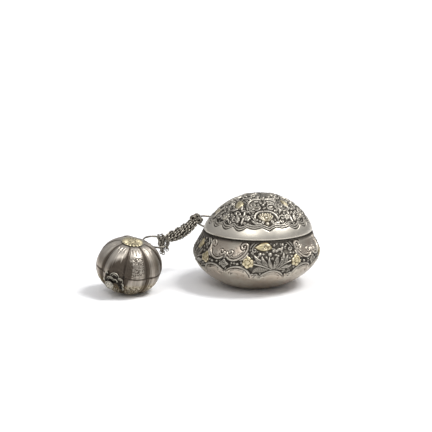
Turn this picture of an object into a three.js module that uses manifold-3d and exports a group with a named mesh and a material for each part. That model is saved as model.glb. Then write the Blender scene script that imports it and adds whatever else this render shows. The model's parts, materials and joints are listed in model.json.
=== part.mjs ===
// A silver betel box: a chased round bowl with a hinged domed lid, and a small
// melon-shaped lime box that hangs from it by a chain of three strands.
// Millimetres, +Z up, origin at the middle of the bowl's resting face, -Y to the front.
import * as THREE from 'three';
import { mergeVertices } from 'three/addons/utils/BufferGeometryUtils.js';
import Module from 'manifold-3d';

const wasm = await Module();
wasm.setup();

// Gaps
const seatGap = 0.3; // between pieces that rest on each other
const pinPlay = 0.06; // round a hinge pin

// Bowl
const footRadius = 15;
const bellyRadius = 42.7;
const bellyHeight = 23.5;
const rimRadius = 37;
const rimHeight = 37.2;
const bowlWall = 1;
const rimSeatWidth = 2.5; // the rim is turned in to a flat seat for the lid
const rimSeatThickness = 1;
const handLean = 0.06; // the hand-raised form leans to the right, per millimetre of height

// Collar inside the rim
const collarWall = 0.6;
const collarAboveRim = 2.9;
const collarBelowRim = 3.6;

// Lid
const lidSetBack = 1; // of the lid's edge from the rim
const lidHeight = 24;
const lidWall = 0.9;
const lidFullness = 1.42; // 2 would be half an ellipse, 1 a cone with a round nose
const bandHeight = 7.4; // plain band below the scalloped edge
const bandProud = 0.4;
const bandSlope = 0.35;
const scallopDepth = 2.4;
const scallopCount = 4; // between two brackets
const bracketHalf = 25.6; // degrees
const bracketDip = 0.9;
const cuspDepth = 2.2;
const cuspHalf = 9; // degrees
const motifCount = 3;
const motifAngle = 280; // the middle of the front motif

// Lid hinge
const lidHingeAngle = 100;
const hingeOut = 1.7; // from the rim to the pin
const knuckleRadius = 1.3;
const knuckleLength = 4;
const hingePinRadius = 0.6;
const leafHeight = 4.6;
const leafThickness = 0.7;

// Ring eyes
const eyeRadius = 1.7; // middle of the eye's wire
const eyeWire = 0.55;
const eyePlateRadius = 2.4;
const eyePlateThickness = 0.6;
const eyeSink = 0.45; // how deep the eye's wire is soldered into its plate
const boxEyeAngle = 129;
const boxEyeHeight = 28.8;

// Carrying rings
const ringRadius = 9;
const ringWire = 0.5;
const boxRingLift = 19; // above the level
const limeRingLift = 6;
const limeRingHold = 105; // where the chain holds the lime box's ring, from its side

// Chain
const gatherRadius = 2.35;
const gatherWire = 0.45;
const linkWire = 0.36;
const linkHalfWidth = 0.95;
const linkPitch = 2.85;
const strandSpacing = 2.8;
const strandFan = 62; // between strands where they leave a gathering link
const chainSag = 0.6;
const strandLead = 3; // how far a strand keeps its first way
const strandMeet = 6; // how far it runs straight to the middle
const linkBite = 0.14; // soldered links run into each other by this much
const boxRingHold = 24; // where the chain holds the box ring, from its front

// Lime box
const melonRadius = 21.9;
const melonHalfHeight = 19.1;
const melonWall = 0.9;
const lobeCount = 8;
const grooveDepth = 1.5;
const grooveAngle = 263.5;
const crownDimple = 2.3;
const melonPlace = new THREE.Vector2(-82.3, -23);
const melonLeanRight = 9;
const melonLeanFront = 9.5;
const melonCollarWall = 0.6;
const melonCollarHeight = 2.2; // above and below the seam
const melonKnobAngle = 243;
const melonEyeLatitude = 18;

// Lime box hinge
const smallKnuckleRadius = 1;
const smallKnuckleLength = 3;
const smallPinRadius = 0.45;
const smallLeafHeight = 3.4;
const smallLeafThickness = 0.6;

// Trim of the lime box
const rosetteRadius = 7.8;
const rosetteThickness = 1.1;
const rosettePetals = 16;
const sprayLatitude = -15;
const leafLength = 5.6;
const leafWidth = 1.7;
const leafRise = 0.7;
const leafCount = 6;
const knobLatitude = -17.5;
const knobStem = 1.4;
const knobRadius = 3;
const knobThickness = 1.2;

const lidEdgeRadius = rimRadius - lidSetBack;
const degrees = Math.PI / 180;

// Materials
function metal(color, roughness) {
  return new THREE.MeshStandardMaterial({ color, roughness, metalness: 1 });
}
const chasedSilver = metal(0x8c887e, 0.42);
const plainSilver = metal(0xafaa9c, 0.32);
const darkSilver = metal(0x5d5a52, 0.4);
const warmSilver = metal(0xb0a698, 0.36);
const gilt = metal(0xbcb487, 0.34);

// One shared vertex for each corner, without flat triangles, faces pointing out.
function closed(geometry) {
  geometry.deleteAttribute('normal');
  geometry.deleteAttribute('uv');
  const merged = mergeVertices(geometry, 1e-4);
  const corners = merged.index.array;
  const kept = [];
  for (let i = 0; i < corners.length; i += 3) {
    const [a, b, c] = [corners[i], corners[i + 1], corners[i + 2]];
    if (a !== b && b !== c && c !== a) kept.push(a, b, c);
  }
  if (signedVolume(merged, kept) < 0) {
    for (let i = 0; i < kept.length; i += 3) [kept[i], kept[i + 1]] = [kept[i + 1], kept[i]];
  }
  merged.setIndex(kept);
  return merged;
}

function signedVolume(geometry, corners) {
  const position = geometry.getAttribute('position');
  const [a, b, c] = [new THREE.Vector3(), new THREE.Vector3(), new THREE.Vector3()];
  let volume = 0;
  for (let i = 0; i < corners.length; i += 3) {
    a.fromBufferAttribute(position, corners[i]);
    b.fromBufferAttribute(position, corners[i + 1]);
    c.fromBufferAttribute(position, corners[i + 2]);
    volume += a.dot(b.cross(c)) / 6;
  }
  return volume;
}

function toSolid(geometry) {
  const whole = closed(geometry);
  return new wasm.Manifold(new wasm.Mesh({
    numProp: 3,
    vertProperties: new Float32Array(whole.getAttribute('position').array),
    triVerts: new Uint32Array(whole.index.array),
  }));
}

function fromSolid(solid) {
  const mesh = solid.getMesh();
  const geometry = new THREE.BufferGeometry();
  geometry.setAttribute('position', new THREE.BufferAttribute(mesh.vertProperties, 3));
  geometry.setIndex(new THREE.BufferAttribute(mesh.triVerts, 1));
  return geometry;
}

// A turned form: rows of points round the axis, the last row joined to the first unless both are poles.
function turned(rowCount, segments, pointOf) {
  const outline = [];
  for (let row = 0; row < rowCount; row += 1) outline.push(new THREE.Vector2(1, row));
  const geometry = new THREE.LatheGeometry(outline, segments);
  const position = geometry.getAttribute('position');
  for (let i = 0; i < position.count; i += 1) {
    const column = Math.floor(i / rowCount) % segments;
    const [x, y, z] = pointOf(i % rowCount, (column / segments) * 2 * Math.PI);
    position.setXYZ(i, x, y, z);
  }
  return closed(geometry);
}

function round(radius, height, angle) {
  return [radius * Math.cos(angle), radius * Math.sin(angle), height];
}

// The outline moved along its own normal, inward for a negative distance.
function offsetOutline(outline, distance) {
  return outline.map(([radius, height], i) => {
    const before = outline[Math.max(i - 1, 0)];
    const after = outline[Math.min(i + 1, outline.length - 1)];
    const along = new THREE.Vector2(after[0] - before[0], after[1] - before[1]).normalize();
    return [Math.max(radius + along.y * distance, 0), height - along.x * distance];
  });
}

function lean(geometry) {
  return geometry.applyMatrix4(new THREE.Matrix4().makeShear(0, 0, 0, 0, handLean, 0));
}

function leaned(x, y, z) {
  return new THREE.Vector3(x + handLean * z, y, z);
}

function polar(radius, angle, height) {
  const turn = angle * degrees;
  return new THREE.Vector3(radius * Math.cos(turn), radius * Math.sin(turn), height);
}

// Bowl
function bowlRadius(height) {
  if (height < bellyHeight) {
    const below = 1 - height / bellyHeight;
    return footRadius + (bellyRadius - footRadius) * (1 - below ** 1.8) ** 0.715;
  }
  const t = (height - bellyHeight) / (rimHeight - bellyHeight);
  return bellyRadius - (bellyRadius - rimRadius) * t * t * (3 - 2 * t);
}

const bowlSteps = 11;
const bowlSides = 48;

function bowlOutline(steps) {
  const outline = [];
  for (let i = 0; i <= steps; i += 1) {
    const height = rimHeight * (i / steps) ** 1.35;
    outline.push([bowlRadius(height), height]);
  }
  return outline;
}

function bowlGeometry() {
  const outside = bowlOutline(bowlSteps);
  const rimInside = rimRadius - rimSeatWidth;
  const seatUnder = rimHeight - rimSeatThickness;
  const inside = offsetOutline(bowlOutline(6), -bowlWall)
    .filter(([, height]) => height > bowlWall && height < seatUnder - bowlWall);
  const rows = [
    [0, 0],
    ...outside,
    [rimInside, rimHeight],
    [rimInside, seatUnder],
    [bowlRadius(seatUnder) - bowlWall, seatUnder],
    ...inside.reverse(),
    [footRadius, bowlWall],
    [0, bowlWall],
  ];
  return lean(turned(rows.length, bowlSides, (row, angle) => round(...rows[row], angle)));
}

// The bowl's outside as a full body, moved out by a distance, to cut and to carry what lies on it.
function bowlBody(distance) {
  const outside = offsetOutline(bowlOutline(bowlSteps), distance);
  const rows = [[0, outside[0][1]], ...outside, [0, rimHeight + distance]];
  return toSolid(lean(turned(rows.length, bowlSides, (row, angle) => round(...rows[row], angle))));
}

function collarGeometry() {
  const outer = rimRadius - rimSeatWidth - seatGap;
  const inner = outer - collarWall;
  const low = rimHeight - collarBelowRim;
  const high = rimHeight + collarAboveRim;
  const rows = [[inner, low], [outer, low], [outer, high], [inner, high], [inner, low]];
  return lean(turned(rows.length, 40, (row, angle) => round(...rows[row], angle)));
}

// Lid
const lidBase = rimHeight + seatGap;

function lidPoint(rise, proud) {
  const height = lidHeight * Math.sin(rise) ** (2 / lidFullness);
  return [lidEdgeRadius * Math.cos(rise) + proud * Math.cos(rise), lidBase + height];
}

function lidRise(height) {
  return Math.asin((height / lidHeight) ** (lidFullness / 2));
}

// Height of the plain band round the lid: in each motif a bracket with a cusp, then the scallops.
function bandTop(angle) {
  const turn = 360 / motifCount;
  const along = (((angle / degrees - motifAngle) % turn) + turn * 1.5) % turn - turn / 2;
  const away = Math.abs(along);
  if (away < cuspHalf) return bandHeight - cuspDepth * (1 - away / cuspHalf) ** 1.4;
  if (away < bracketHalf) {
    const t = (away - cuspHalf) / (bracketHalf - cuspHalf);
    return bandHeight - bracketDip * Math.sin(t * Math.PI);
  }
  const t = ((away - bracketHalf) / (turn / 2 - bracketHalf)) * (scallopCount / 2);
  return bandHeight - scallopDepth * Math.abs(Math.sin(t * Math.PI));
}

function lidGeometry() {
  const domeRows = 6;
  const sides = 96;
  const insideShares = [0, 0.15, 0.35, 0.58, 0.8, 1];
  const inside = insideShares.map((share) => lidPoint(share * Math.PI / 2, 0));
  const insideRows = offsetOutline(inside, -lidWall);
  insideRows[0] = [lidEdgeRadius - lidWall, lidBase];
  insideRows[insideShares.length - 1] = [0, lidBase + lidHeight - lidWall];
  const rowCount = 3 + domeRows + insideRows.length + 1;
  return lean(turned(rowCount, sides, (row, angle) => {
    const top = bandTop(angle);
    if (row === 0 || row === rowCount - 1) return round(lidEdgeRadius + bandProud, lidBase, angle);
    if (row === 1) return round(...lidPoint(lidRise(top - bandSlope), bandProud), angle);
    if (row < 3 + domeRows) {
      const start = lidRise(top + bandSlope);
      const rise = start + ((row - 2) / domeRows) * (Math.PI / 2 - start);
      const [radius, height] = lidPoint(rise, 0);
      return round(row === 2 + domeRows ? 0 : radius, height, angle);
    }
    return round(...insideRows[rowCount - 2 - row], angle);
  }));
}

function lidBody(distance) {
  const outside = [];
  for (let i = 0; i <= 20; i += 1) outside.push(lidPoint((i / 20) * Math.PI / 2, bandProud));
  const moved = offsetOutline(outside, distance);
  moved[20] = [0, lidBase + lidHeight + distance];
  const rows = [[0, lidBase - distance], [moved[0][0], lidBase - distance], ...moved.slice(1)];
  return toSolid(lean(turned(rows.length, 72, (row, angle) => round(...rows[row], angle))));
}

function placedSolid(geometry, matrix) {
  return toSolid(geometry.applyMatrix4(matrix));
}

// A frame at a point with its own x, y and z directions.
function frameAt(origin, xAxis, zAxis) {
  const z = zAxis.clone().normalize();
  const y = new THREE.Vector3().crossVectors(z, xAxis).normalize();
  const x = new THREE.Vector3().crossVectors(y, z);
  return new THREE.Matrix4().makeBasis(x, y, z).setPosition(origin);
}

function barrel(radius, length, along) {
  return toSolid(new THREE.CylinderGeometry(radius, radius, length, 12).rotateZ(Math.PI / 2)
    .translate(along, 0, 0));
}

// Hinge pieces in a frame whose x runs along the pin: two outer knuckles or the middle one.
function knuckles(radius, length, boreRadius, middle) {
  const bore = barrel(boreRadius, length * 4, 0);
  if (middle) return barrel(radius, length - seatGap, 0).subtract(bore);
  return barrel(radius, length - seatGap, length).add(barrel(radius, length - seatGap, -length))
    .subtract(bore);
}

function pinGeometry(radius, length) {
  return new THREE.CylinderGeometry(radius, radius, length, 14).rotateZ(Math.PI / 2);
}

// A curved leaf: the layer between two bodies, within a block.
function layer(outer, inner, block) {
  return outer.subtract(inner).intersect(block);
}

const lidHingePoint = leaned(...polar(rimRadius + hingeOut, lidHingeAngle, rimHeight).toArray());
const lidHingeAxis = polar(1, lidHingeAngle + 90, 0);
const up = new THREE.Vector3(0, 0, 1);
const lidHingeFrame = frameAt(lidHingePoint, lidHingeAxis, up);

function lidHingeBlock(width, low, high) {
  const depth = 4 * (hingeOut + knuckleRadius);
  const block = new THREE.BoxGeometry(width, depth, high - low).translate(0, 0, (low + high) / 2);
  return placedSolid(block, lidHingeFrame);
}

function bowlHingeLeaf() {
  const width = knuckleLength * 3 - seatGap;
  const clear = bowlBody(seatGap);
  const plate = layer(bowlBody(seatGap + leafThickness), clear,
    lidHingeBlock(width, -leafHeight - 1, -0.4));
  const bridge = lidHingeBlock(width, -1.6, -0.7).intersect(bowlBody(hingeOut + 0.5)).subtract(clear);
  const barrels = knuckles(knuckleRadius, knuckleLength, hingePinRadius + pinPlay, false)
    .transform(lidHingeFrame.toArray());
  const room = placedSolid(
    new THREE.CylinderGeometry(knuckleRadius + seatGap, knuckleRadius + seatGap,
      knuckleLength + seatGap, 16).rotateZ(Math.PI / 2), lidHingeFrame);
  return fromSolid(plate.add(bridge).subtract(pinRoom()).subtract(room).add(barrels.subtract(clear)));
}

function pinRoom() {
  const radius = hingePinRadius + pinPlay;
  return placedSolid(pinGeometry(radius, knuckleLength * 4), lidHingeFrame);
}

function lidHingeLeaf() {
  const width = knuckleLength * 3 - seatGap;
  const clear = lidBody(seatGap);
  const plate = layer(lidBody(seatGap + leafThickness), clear,
    lidHingeBlock(width, knuckleRadius + 0.6, knuckleRadius + 0.6 + leafHeight));
  const tongue = layer(lidBody(seatGap + leafThickness), clear,
    lidHingeBlock(knuckleLength - seatGap, 0.3, knuckleRadius + 1));
  const middle = knuckles(knuckleRadius, knuckleLength, hingePinRadius + pinPlay, true)
    .transform(lidHingeFrame.toArray());
  const web = placedSolid(new THREE.BoxGeometry(knuckleLength - seatGap, hingeOut, 1)
    .translate(0, hingeOut / 2, 0.9), lidHingeFrame);
  return fromSolid(plate.add(tongue).add(middle).add(web.subtract(pinRoom())).subtract(clear));
}

// An eye: a wire loop on a small plate that lies on a body.
function eyeGeometry(frame, bodyAt, stand) {
  const plateTool = placedSolid(
    new THREE.CylinderGeometry(eyePlateRadius, eyePlateRadius, eyePlateRadius * 3, 14)
      .rotateX(Math.PI / 2), frame);
  const plate = layer(bodyAt(seatGap + eyePlateThickness), bodyAt(seatGap), plateTool);
  const loop = new THREE.TorusGeometry(eyeRadius, eyeWire, 6, 14).rotateY(Math.PI / 2)
    .translate(0, 0, stand);
  return fromSolid(plate.add(placedSolid(loop, frame)).subtract(bodyAt(seatGap)));
}

const eyeStand = seatGap + eyePlateThickness - eyeSink + eyeRadius + eyeWire;
const boxEyeFoot = leaned(...polar(bowlRadius(boxEyeHeight), boxEyeAngle, boxEyeHeight).toArray());
const boxEyeSlope = (bowlRadius(boxEyeHeight - 0.5) - bowlRadius(boxEyeHeight + 0.5));
const boxEyeOut = polar(1, boxEyeAngle, boxEyeSlope).normalize();
const boxEyeAlong = polar(1, boxEyeAngle + 90, 0);
const boxEyeFrame = frameAt(boxEyeFoot, boxEyeAlong, boxEyeOut);

// A ring that hangs in an eye, pulled out to the eye's far side.
function ringPlace(eyeCentre, outward, along) {
  const pull = eyeRadius - eyeWire - ringWire - seatGap;
  const centre = eyeCentre.clone().addScaledVector(outward, ringRadius + Math.max(pull, 0));
  return { centre, outward, along, normal: new THREE.Vector3().crossVectors(along, outward) };
}

function ringPoint(ring, angle) {
  return ring.centre.clone()
    .addScaledVector(ring.along, ringRadius * Math.cos(angle * degrees))
    .addScaledVector(ring.outward, ringRadius * Math.sin(angle * degrees));
}

function ringGeometry(ring) {
  const loop = new THREE.TorusGeometry(ringRadius, ringWire, 6, 32);
  return closed(loop.applyMatrix4(frameAt(ring.centre, ring.along, ring.normal)));
}

const boxEyeCentre = boxEyeFoot.clone().addScaledVector(boxEyeOut, eyeStand);
const boxRingOut = polar(Math.cos(boxRingLift * degrees), boxEyeAngle, Math.sin(boxRingLift * degrees));
const boxRing = ringPlace(boxEyeCentre, boxRingOut, boxEyeAlong);

// Lime box, in its own frame: the seam at z = 0, the crown up.
function melonPoint(latitude, angle, distance) {
  const around = Math.abs(Math.sin((angle - grooveAngle * degrees) * lobeCount / 2));
  const groove = grooveDepth * (1 - around ** 0.55) * Math.cos(latitude) ** 0.6;
  const dimple = crownDimple * Math.exp(-((Math.cos(latitude) / 0.42) ** 2)) * Math.sign(latitude);
  const radius = (melonRadius + distance) * Math.cos(latitude) - groove;
  return [Math.max(radius, 0), (melonHalfHeight + distance) * Math.sin(latitude) - dimple];
}

// One half: rows from the seam up the outside to the pole, and down the inside to the seam again.
function melonHalf(side) {
  const outside = [0, 0.17, 0.34, 0.5, 0.66, 0.83, 1].map((share) => [share, 0]);
  const inside = [1, 0.78, 0.52, 0.26, 0].map((share) => [share, -melonWall]);
  const rows = [...outside, ...inside, outside[0]];
  return turned(rows.length, lobeCount * 6, (row, angle) => {
    const [share, distance] = rows[row];
    const [radius, height] = melonPoint(side * share * Math.PI / 2, angle, distance);
    return round(share === 1 ? 0 : radius, share === 0 ? side * seatGap / 2 : height, angle);
  });
}

function melonBody(distance) {
  const steps = 12;
  return toSolid(turned(2 * steps + 1, lobeCount * 6, (row, angle) => {
    const latitude = (row / steps - 1) * Math.PI / 2;
    const [radius, height] = melonPoint(latitude, angle, distance);
    return round(row === 0 || row === 2 * steps ? 0 : radius, height, angle);
  }));
}

function melonCollarGeometry() {
  const outer = melonRadius - grooveDepth - melonWall - seatGap - 0.25;
  const inner = outer - melonCollarWall;
  const rows = [
    [inner, -melonCollarHeight], [outer, -melonCollarHeight],
    [outer, melonCollarHeight], [inner, melonCollarHeight], [inner, -melonCollarHeight],
  ];
  return turned(rows.length, 40, (row, angle) => round(...rows[row], angle));
}

// Rosette on the crown: a shallow dish with petal tips round its edge.
function rosetteGeometry() {
  const petal = 0.45;
  const crown = (radius) => {
    const latitude = Math.acos(radius / melonRadius);
    return melonPoint(latitude, (grooveAngle + 180 / lobeCount) * degrees, seatGap)[1];
  };
  const edge = (angle) => rosetteRadius - petal * (1 - Math.abs(Math.sin(angle * rosettePetals / 2)));
  const rows = [0, 0.5, 0.8, 1];
  const count = 2 * rows.length;
  return turned(count, rosettePetals * 3, (row, angle) => {
    const under = row < rows.length;
    const share = under ? rows[row] : rows[count - 1 - row];
    const radius = share * edge(angle);
    const rib = under ? 0 : 0.25 * Math.abs(Math.sin(angle * rosettePetals / 2)) * share;
    return round(radius, crown(radius) + (under ? 0 : rosetteThickness * (1 - 0.45 * share) + rib), angle);
  });
}

// A direction from the middle of the lime box, and the point where it leaves the outside.
function melonDirection(latitude, angle) {
  const turn = angle * degrees;
  return new THREE.Vector3(
    Math.cos(latitude * degrees) * Math.cos(turn),
    Math.cos(latitude * degrees) * Math.sin(turn),
    Math.sin(latitude * degrees));
}

function melonSurface(latitude, angle, distance) {
  const [radius, height] = melonPoint(latitude * degrees, angle * degrees, distance);
  return new THREE.Vector3(radius * Math.cos(angle * degrees), radius * Math.sin(angle * degrees), height);
}

function sprayGeometry() {
  const middle = melonSurface(sprayLatitude, melonKnobAngle, seatGap);
  const out = melonDirection(sprayLatitude, melonKnobAngle);
  const level = new THREE.Vector3().crossVectors(up, out).normalize();
  const frame = frameAt(middle, level, out);
  let spray = placedSolid(new THREE.SphereGeometry(2.2, 10, 6).scale(1, 1, 0.55), frame);
  for (let i = 0; i < leafCount; i += 1) {
    const turn = (-20 + (220 * i) / (leafCount - 1)) * degrees;
    const leaf = new THREE.SphereGeometry(1, 8, 6).scale(leafLength / 2, leafWidth, leafRise * 1.4)
      .rotateY(0.32).translate(leafLength * 0.62, 0, 0.1).rotateZ(turn);
    spray = spray.add(placedSolid(leaf, frame));
  }
  return fromSolid(spray.subtract(melonBody(seatGap)).subtract(knobRoom()));
}

const knobFoot = melonSurface(knobLatitude, melonKnobAngle, seatGap);
const knobOut = melonDirection(knobLatitude, melonKnobAngle);
const knobFrame = frameAt(knobFoot, new THREE.Vector3().crossVectors(up, knobOut), knobOut);

function knobRoom() {
  return placedSolid(new THREE.CylinderGeometry(knobRadius * 0.55 + seatGap, knobRadius * 0.55 + seatGap,
    knobStem * 4, 16).rotateX(Math.PI / 2), knobFrame);
}

function knobGeometry() {
  const outline = [
    [0, -0.8], [knobRadius * 0.55, -0.8], [knobRadius * 0.42, knobStem * 0.5],
    [knobRadius * 0.5, knobStem], [knobRadius * 0.94, knobStem + 0.3], [knobRadius, knobStem + 0.8],
    [knobRadius * 0.8, knobStem + knobThickness], [0, knobStem + knobThickness + 0.25],
  ];
  const knob = turned(outline.length, 16, (row, angle) => round(...outline[row], angle));
  return fromSolid(placedSolid(knob, knobFrame).subtract(melonBody(seatGap)));
}

const melonHingeAngle = melonKnobAngle - 180;
const melonHingeOut = melonRadius + smallKnuckleRadius + seatGap;
const melonHingePoint = polar(melonHingeOut, melonHingeAngle, 0);
const melonHingeFrame = frameAt(melonHingePoint, polar(1, melonHingeAngle + 90, 0), up);

function melonHingeLeaf(side) {
  const clear = melonBody(seatGap);
  const middle = side < 0;
  const width = smallKnuckleLength * (middle ? 1 : 3) - seatGap;
  const block = (wide, low, high) => placedSolid(
    new THREE.BoxGeometry(wide, smallKnuckleRadius * 10, high - low)
      .translate(0, 0, side * (low + high) / 2), melonHingeFrame);
  const plate = layer(melonBody(seatGap + smallLeafThickness), clear,
    block(smallKnuckleLength * 3 - seatGap, smallKnuckleRadius + seatGap, smallLeafHeight));
  const neck = layer(melonBody(seatGap + smallLeafThickness + 0.5), clear,
    block(width, 0.35, smallKnuckleRadius + 0.6));
  const pinSpace = placedSolid(pinGeometry(smallPinRadius + pinPlay, smallKnuckleLength * 4), melonHingeFrame);
  const barrels = knuckles(smallKnuckleRadius, smallKnuckleLength, smallPinRadius + pinPlay, middle)
    .transform(melonHingeFrame.toArray());
  const room = middle ? null : placedSolid(new THREE.CylinderGeometry(smallKnuckleRadius + seatGap,
    smallKnuckleRadius + seatGap, smallKnuckleLength + seatGap, 16).rotateZ(Math.PI / 2), melonHingeFrame);
  let leaf = plate.add(neck).subtract(pinSpace);
  if (room) leaf = leaf.subtract(room);
  return fromSolid(leaf.add(barrels).subtract(clear));
}

const melonEyeFoot = melonSurface(melonEyeLatitude, melonHingeAngle, 0);
const melonEyeOut = melonDirection(melonEyeLatitude, melonHingeAngle);
const melonEyeAlong = polar(1, melonHingeAngle + 90, 0);
const melonEyeFrame = frameAt(melonEyeFoot, melonEyeAlong, melonEyeOut);

// The lime box leans as it lies, its lowest point on the surface that the bowl stands on.
const melonAxis = new THREE.Vector3(
  Math.sin(melonLeanRight * degrees), -Math.sin(melonLeanFront * degrees), 1);
melonAxis.z = Math.sqrt(1 - melonAxis.x ** 2 - melonAxis.y ** 2);
const melonTurn = new THREE.Quaternion().setFromUnitVectors(up, melonAxis);
const melonGroup = new THREE.Group();
const melonLower = melonHalf(-1);
melonGroup.quaternion.copy(melonTurn);
const turnedDown = melonLower.clone().applyQuaternion(melonTurn);
turnedDown.computeBoundingBox();
melonGroup.position.set(melonPlace.x, melonPlace.y, -turnedDown.boundingBox.min.z);
melonGroup.updateMatrixWorld(true);

const melonEyeCentre = melonEyeFoot.clone().addScaledVector(melonEyeOut, eyeStand)
  .applyMatrix4(melonGroup.matrixWorld);
const melonRingAlong = melonEyeAlong.clone().applyQuaternion(melonTurn);
const melonRingOut = polar(Math.cos(limeRingLift * degrees), melonHingeAngle,
  Math.sin(limeRingLift * degrees));
melonRingOut.addScaledVector(melonRingAlong, -melonRingOut.dot(melonRingAlong)).normalize();
const melonRing = ringPlace(melonEyeCentre, melonRingOut, melonRingAlong);

// Chain: a gathering link on each ring, and three strands between them, one above the other.
const chainStart = ringPoint(boxRing, boxRingHold);
const chainEnd = ringPoint(melonRing, limeRingHold);
const chainWay = chainEnd.clone().sub(chainStart).normalize();
const chainRow = up.clone().addScaledVector(chainWay, -up.dot(chainWay)).normalize();
const gatherReach = gatherRadius - gatherWire - ringWire - seatGap;
const startGather = chainStart.clone().addScaledVector(chainWay, gatherReach);
const endGather = chainEnd.clone().addScaledVector(chainWay, -gatherReach);
const chainMiddle = startGather.clone().lerp(endGather, 0.5).addScaledVector(chainRow, -chainSag);

const chainSide = new THREE.Vector3().crossVectors(chainWay, chainRow);

function gatherGeometry(centre) {
  const loop = new THREE.TorusGeometry(gatherRadius, gatherWire, 6, 16);
  return closed(loop.applyMatrix4(frameAt(centre, chainWay, chainSide)));
}

// A link: a small wire ring drawn out into an oval along x, its axis along z.
function linkGeometry(halfLength) {
  const link = new THREE.TorusGeometry(linkHalfWidth, linkWire, 4, 8).rotateZ(Math.PI / 8);
  const position = link.getAttribute('position');
  const draw = halfLength - linkHalfWidth;
  for (let i = 0; i < position.count; i += 1) {
    position.setX(i, position.getX(i) + Math.sign(position.getX(i)) * draw);
  }
  return link;
}

// Half a strand, from where it is threaded on a gathering link to the middle of the chain.
// Every second link lies across the first, and each is soldered to the next.
function strandHalf(gather, sense, level, even) {
  const spread = level * strandFan * degrees;
  const out = chainWay.clone().multiplyScalar(sense * Math.cos(spread))
    .addScaledVector(chainRow, Math.sin(spread));
  const wire = gather.clone().addScaledVector(out, gatherRadius);
  const towards = chainWay.clone().multiplyScalar(sense);
  const middle = chainMiddle.clone().addScaledVector(chainRow, level * strandSpacing);
  const curve = new THREE.CubicBezierCurve3(wire, wire.clone().addScaledVector(out, strandLead),
    middle.clone().addScaledVector(towards, -strandMeet), middle);
  const length = curve.getLength();
  let count = Math.round(length / linkPitch);
  if ((count % 2 === 0) !== even) count += 1;
  const lead = linkWire + gatherWire + seatGap;
  const tail = linkWire + seatGap / 2;
  const bite = 2 * linkWire - linkBite;
  const halfLength = (length + lead + tail + (count - 1) * bite) / (2 * count);
  const pitch = 2 * halfLength - bite;
  let strand = null;
  for (let i = 0; i < count; i += 1) {
    const along = (halfLength - lead + i * pitch) / length;
    const centre = curve.getPointAt(Math.min(Math.max(along, 0), 1));
    const way = curve.getTangentAt(Math.min(Math.max(along, 0), 1));
    if (along > 1) centre.addScaledVector(towards, (along - 1) * length);
    const side = new THREE.Vector3().crossVectors(way, chainRow).normalize();
    const axis = i % 2 === 0 ? new THREE.Vector3().crossVectors(side, way) : side;
    const link = placedSolid(linkGeometry(halfLength), frameAt(centre, way, axis));
    strand = strand ? strand.add(link) : link;
  }
  return fromSolid(strand);
}

// Assembly
const betelBox = new THREE.Group();

function piece(name, geometry, material, parent = betelBox) {
  const mesh = new THREE.Mesh(geometry, material.clone());
  mesh.name = name;
  parent.add(mesh);
  return mesh;
}

piece('bowl', bowlGeometry(), chasedSilver);
piece('bowl_collar', collarGeometry(), plainSilver);
piece('bowl_hinge_leaf', bowlHingeLeaf(), plainSilver);
piece('bowl_ring_eye', eyeGeometry(boxEyeFrame, bowlBody, eyeStand), plainSilver);
piece('lid', lidGeometry(), chasedSilver);
piece('lid_hinge_leaf', lidHingeLeaf(), plainSilver);
const lidPin = piece('lid_hinge_pin', pinGeometry(hingePinRadius, knuckleLength * 3), darkSilver);
lidPin.applyMatrix4(lidHingeFrame);
piece('box_ring', ringGeometry(boxRing), darkSilver);

const levels = [['upper', 1], ['middle', 0], ['lower', -1]];
piece('box_gather_link', gatherGeometry(startGather), darkSilver);
for (const [name, level] of levels) {
  piece(`${name}_strand_box_half`, strandHalf(startGather, 1, level, true), darkSilver);
}
for (const [name, level] of levels) {
  piece(`${name}_strand_lime_half`, strandHalf(endGather, -1, level, false), darkSilver);
}
piece('lime_gather_link', gatherGeometry(endGather), darkSilver);
piece('lime_box_ring', ringGeometry(melonRing), darkSilver);

betelBox.add(melonGroup);
piece('lime_box_upper', melonHalf(1), warmSilver, melonGroup);
piece('lime_box_rosette', rosetteGeometry(), gilt, melonGroup);
piece('lime_box_ring_eye', eyeGeometry(melonEyeFrame, melonBody, eyeStand), plainSilver, melonGroup);
piece('lime_box_upper_hinge_leaf', melonHingeLeaf(1), warmSilver, melonGroup);
const limePin = piece('lime_box_hinge_pin', pinGeometry(smallPinRadius, smallKnuckleLength * 3),
  darkSilver, melonGroup);
limePin.applyMatrix4(melonHingeFrame);
piece('lime_box_lower', melonLower, warmSilver, melonGroup);
piece('lime_box_collar', melonCollarGeometry(), plainSilver, melonGroup);
piece('lime_box_lower_hinge_leaf', melonHingeLeaf(-1), warmSilver, melonGroup);
piece('lime_box_leaf_spray', sprayGeometry(), darkSilver, melonGroup);
piece('lime_box_knob', knobGeometry(), plainSilver, melonGroup);

// Where each moving piece turns, and the direction of its axis.
const melonHingeAxis = polar(-1, melonHingeAngle + 90, 0).applyQuaternion(melonTurn);
betelBox.userData.joints = {
  lid_open: { at: lidHingePoint, along: lidHingeAxis },
  box_ring_swing: { at: boxEyeCentre, along: boxEyeAlong },
  chain_lift: { at: chainStart, along: chainSide },
  chain_bend: { at: chainMiddle, along: chainRow },
  lime_ring_lift: { at: chainEnd, along: chainSide },
  lime_box_swing: { at: melonEyeCentre, along: melonRingAlong },
  lime_box_open: {
    at: melonHingePoint.clone().applyMatrix4(melonGroup.matrixWorld),
    along: melonHingeAxis,
  },
};

export default betelBox;
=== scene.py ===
import json
import math

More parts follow.
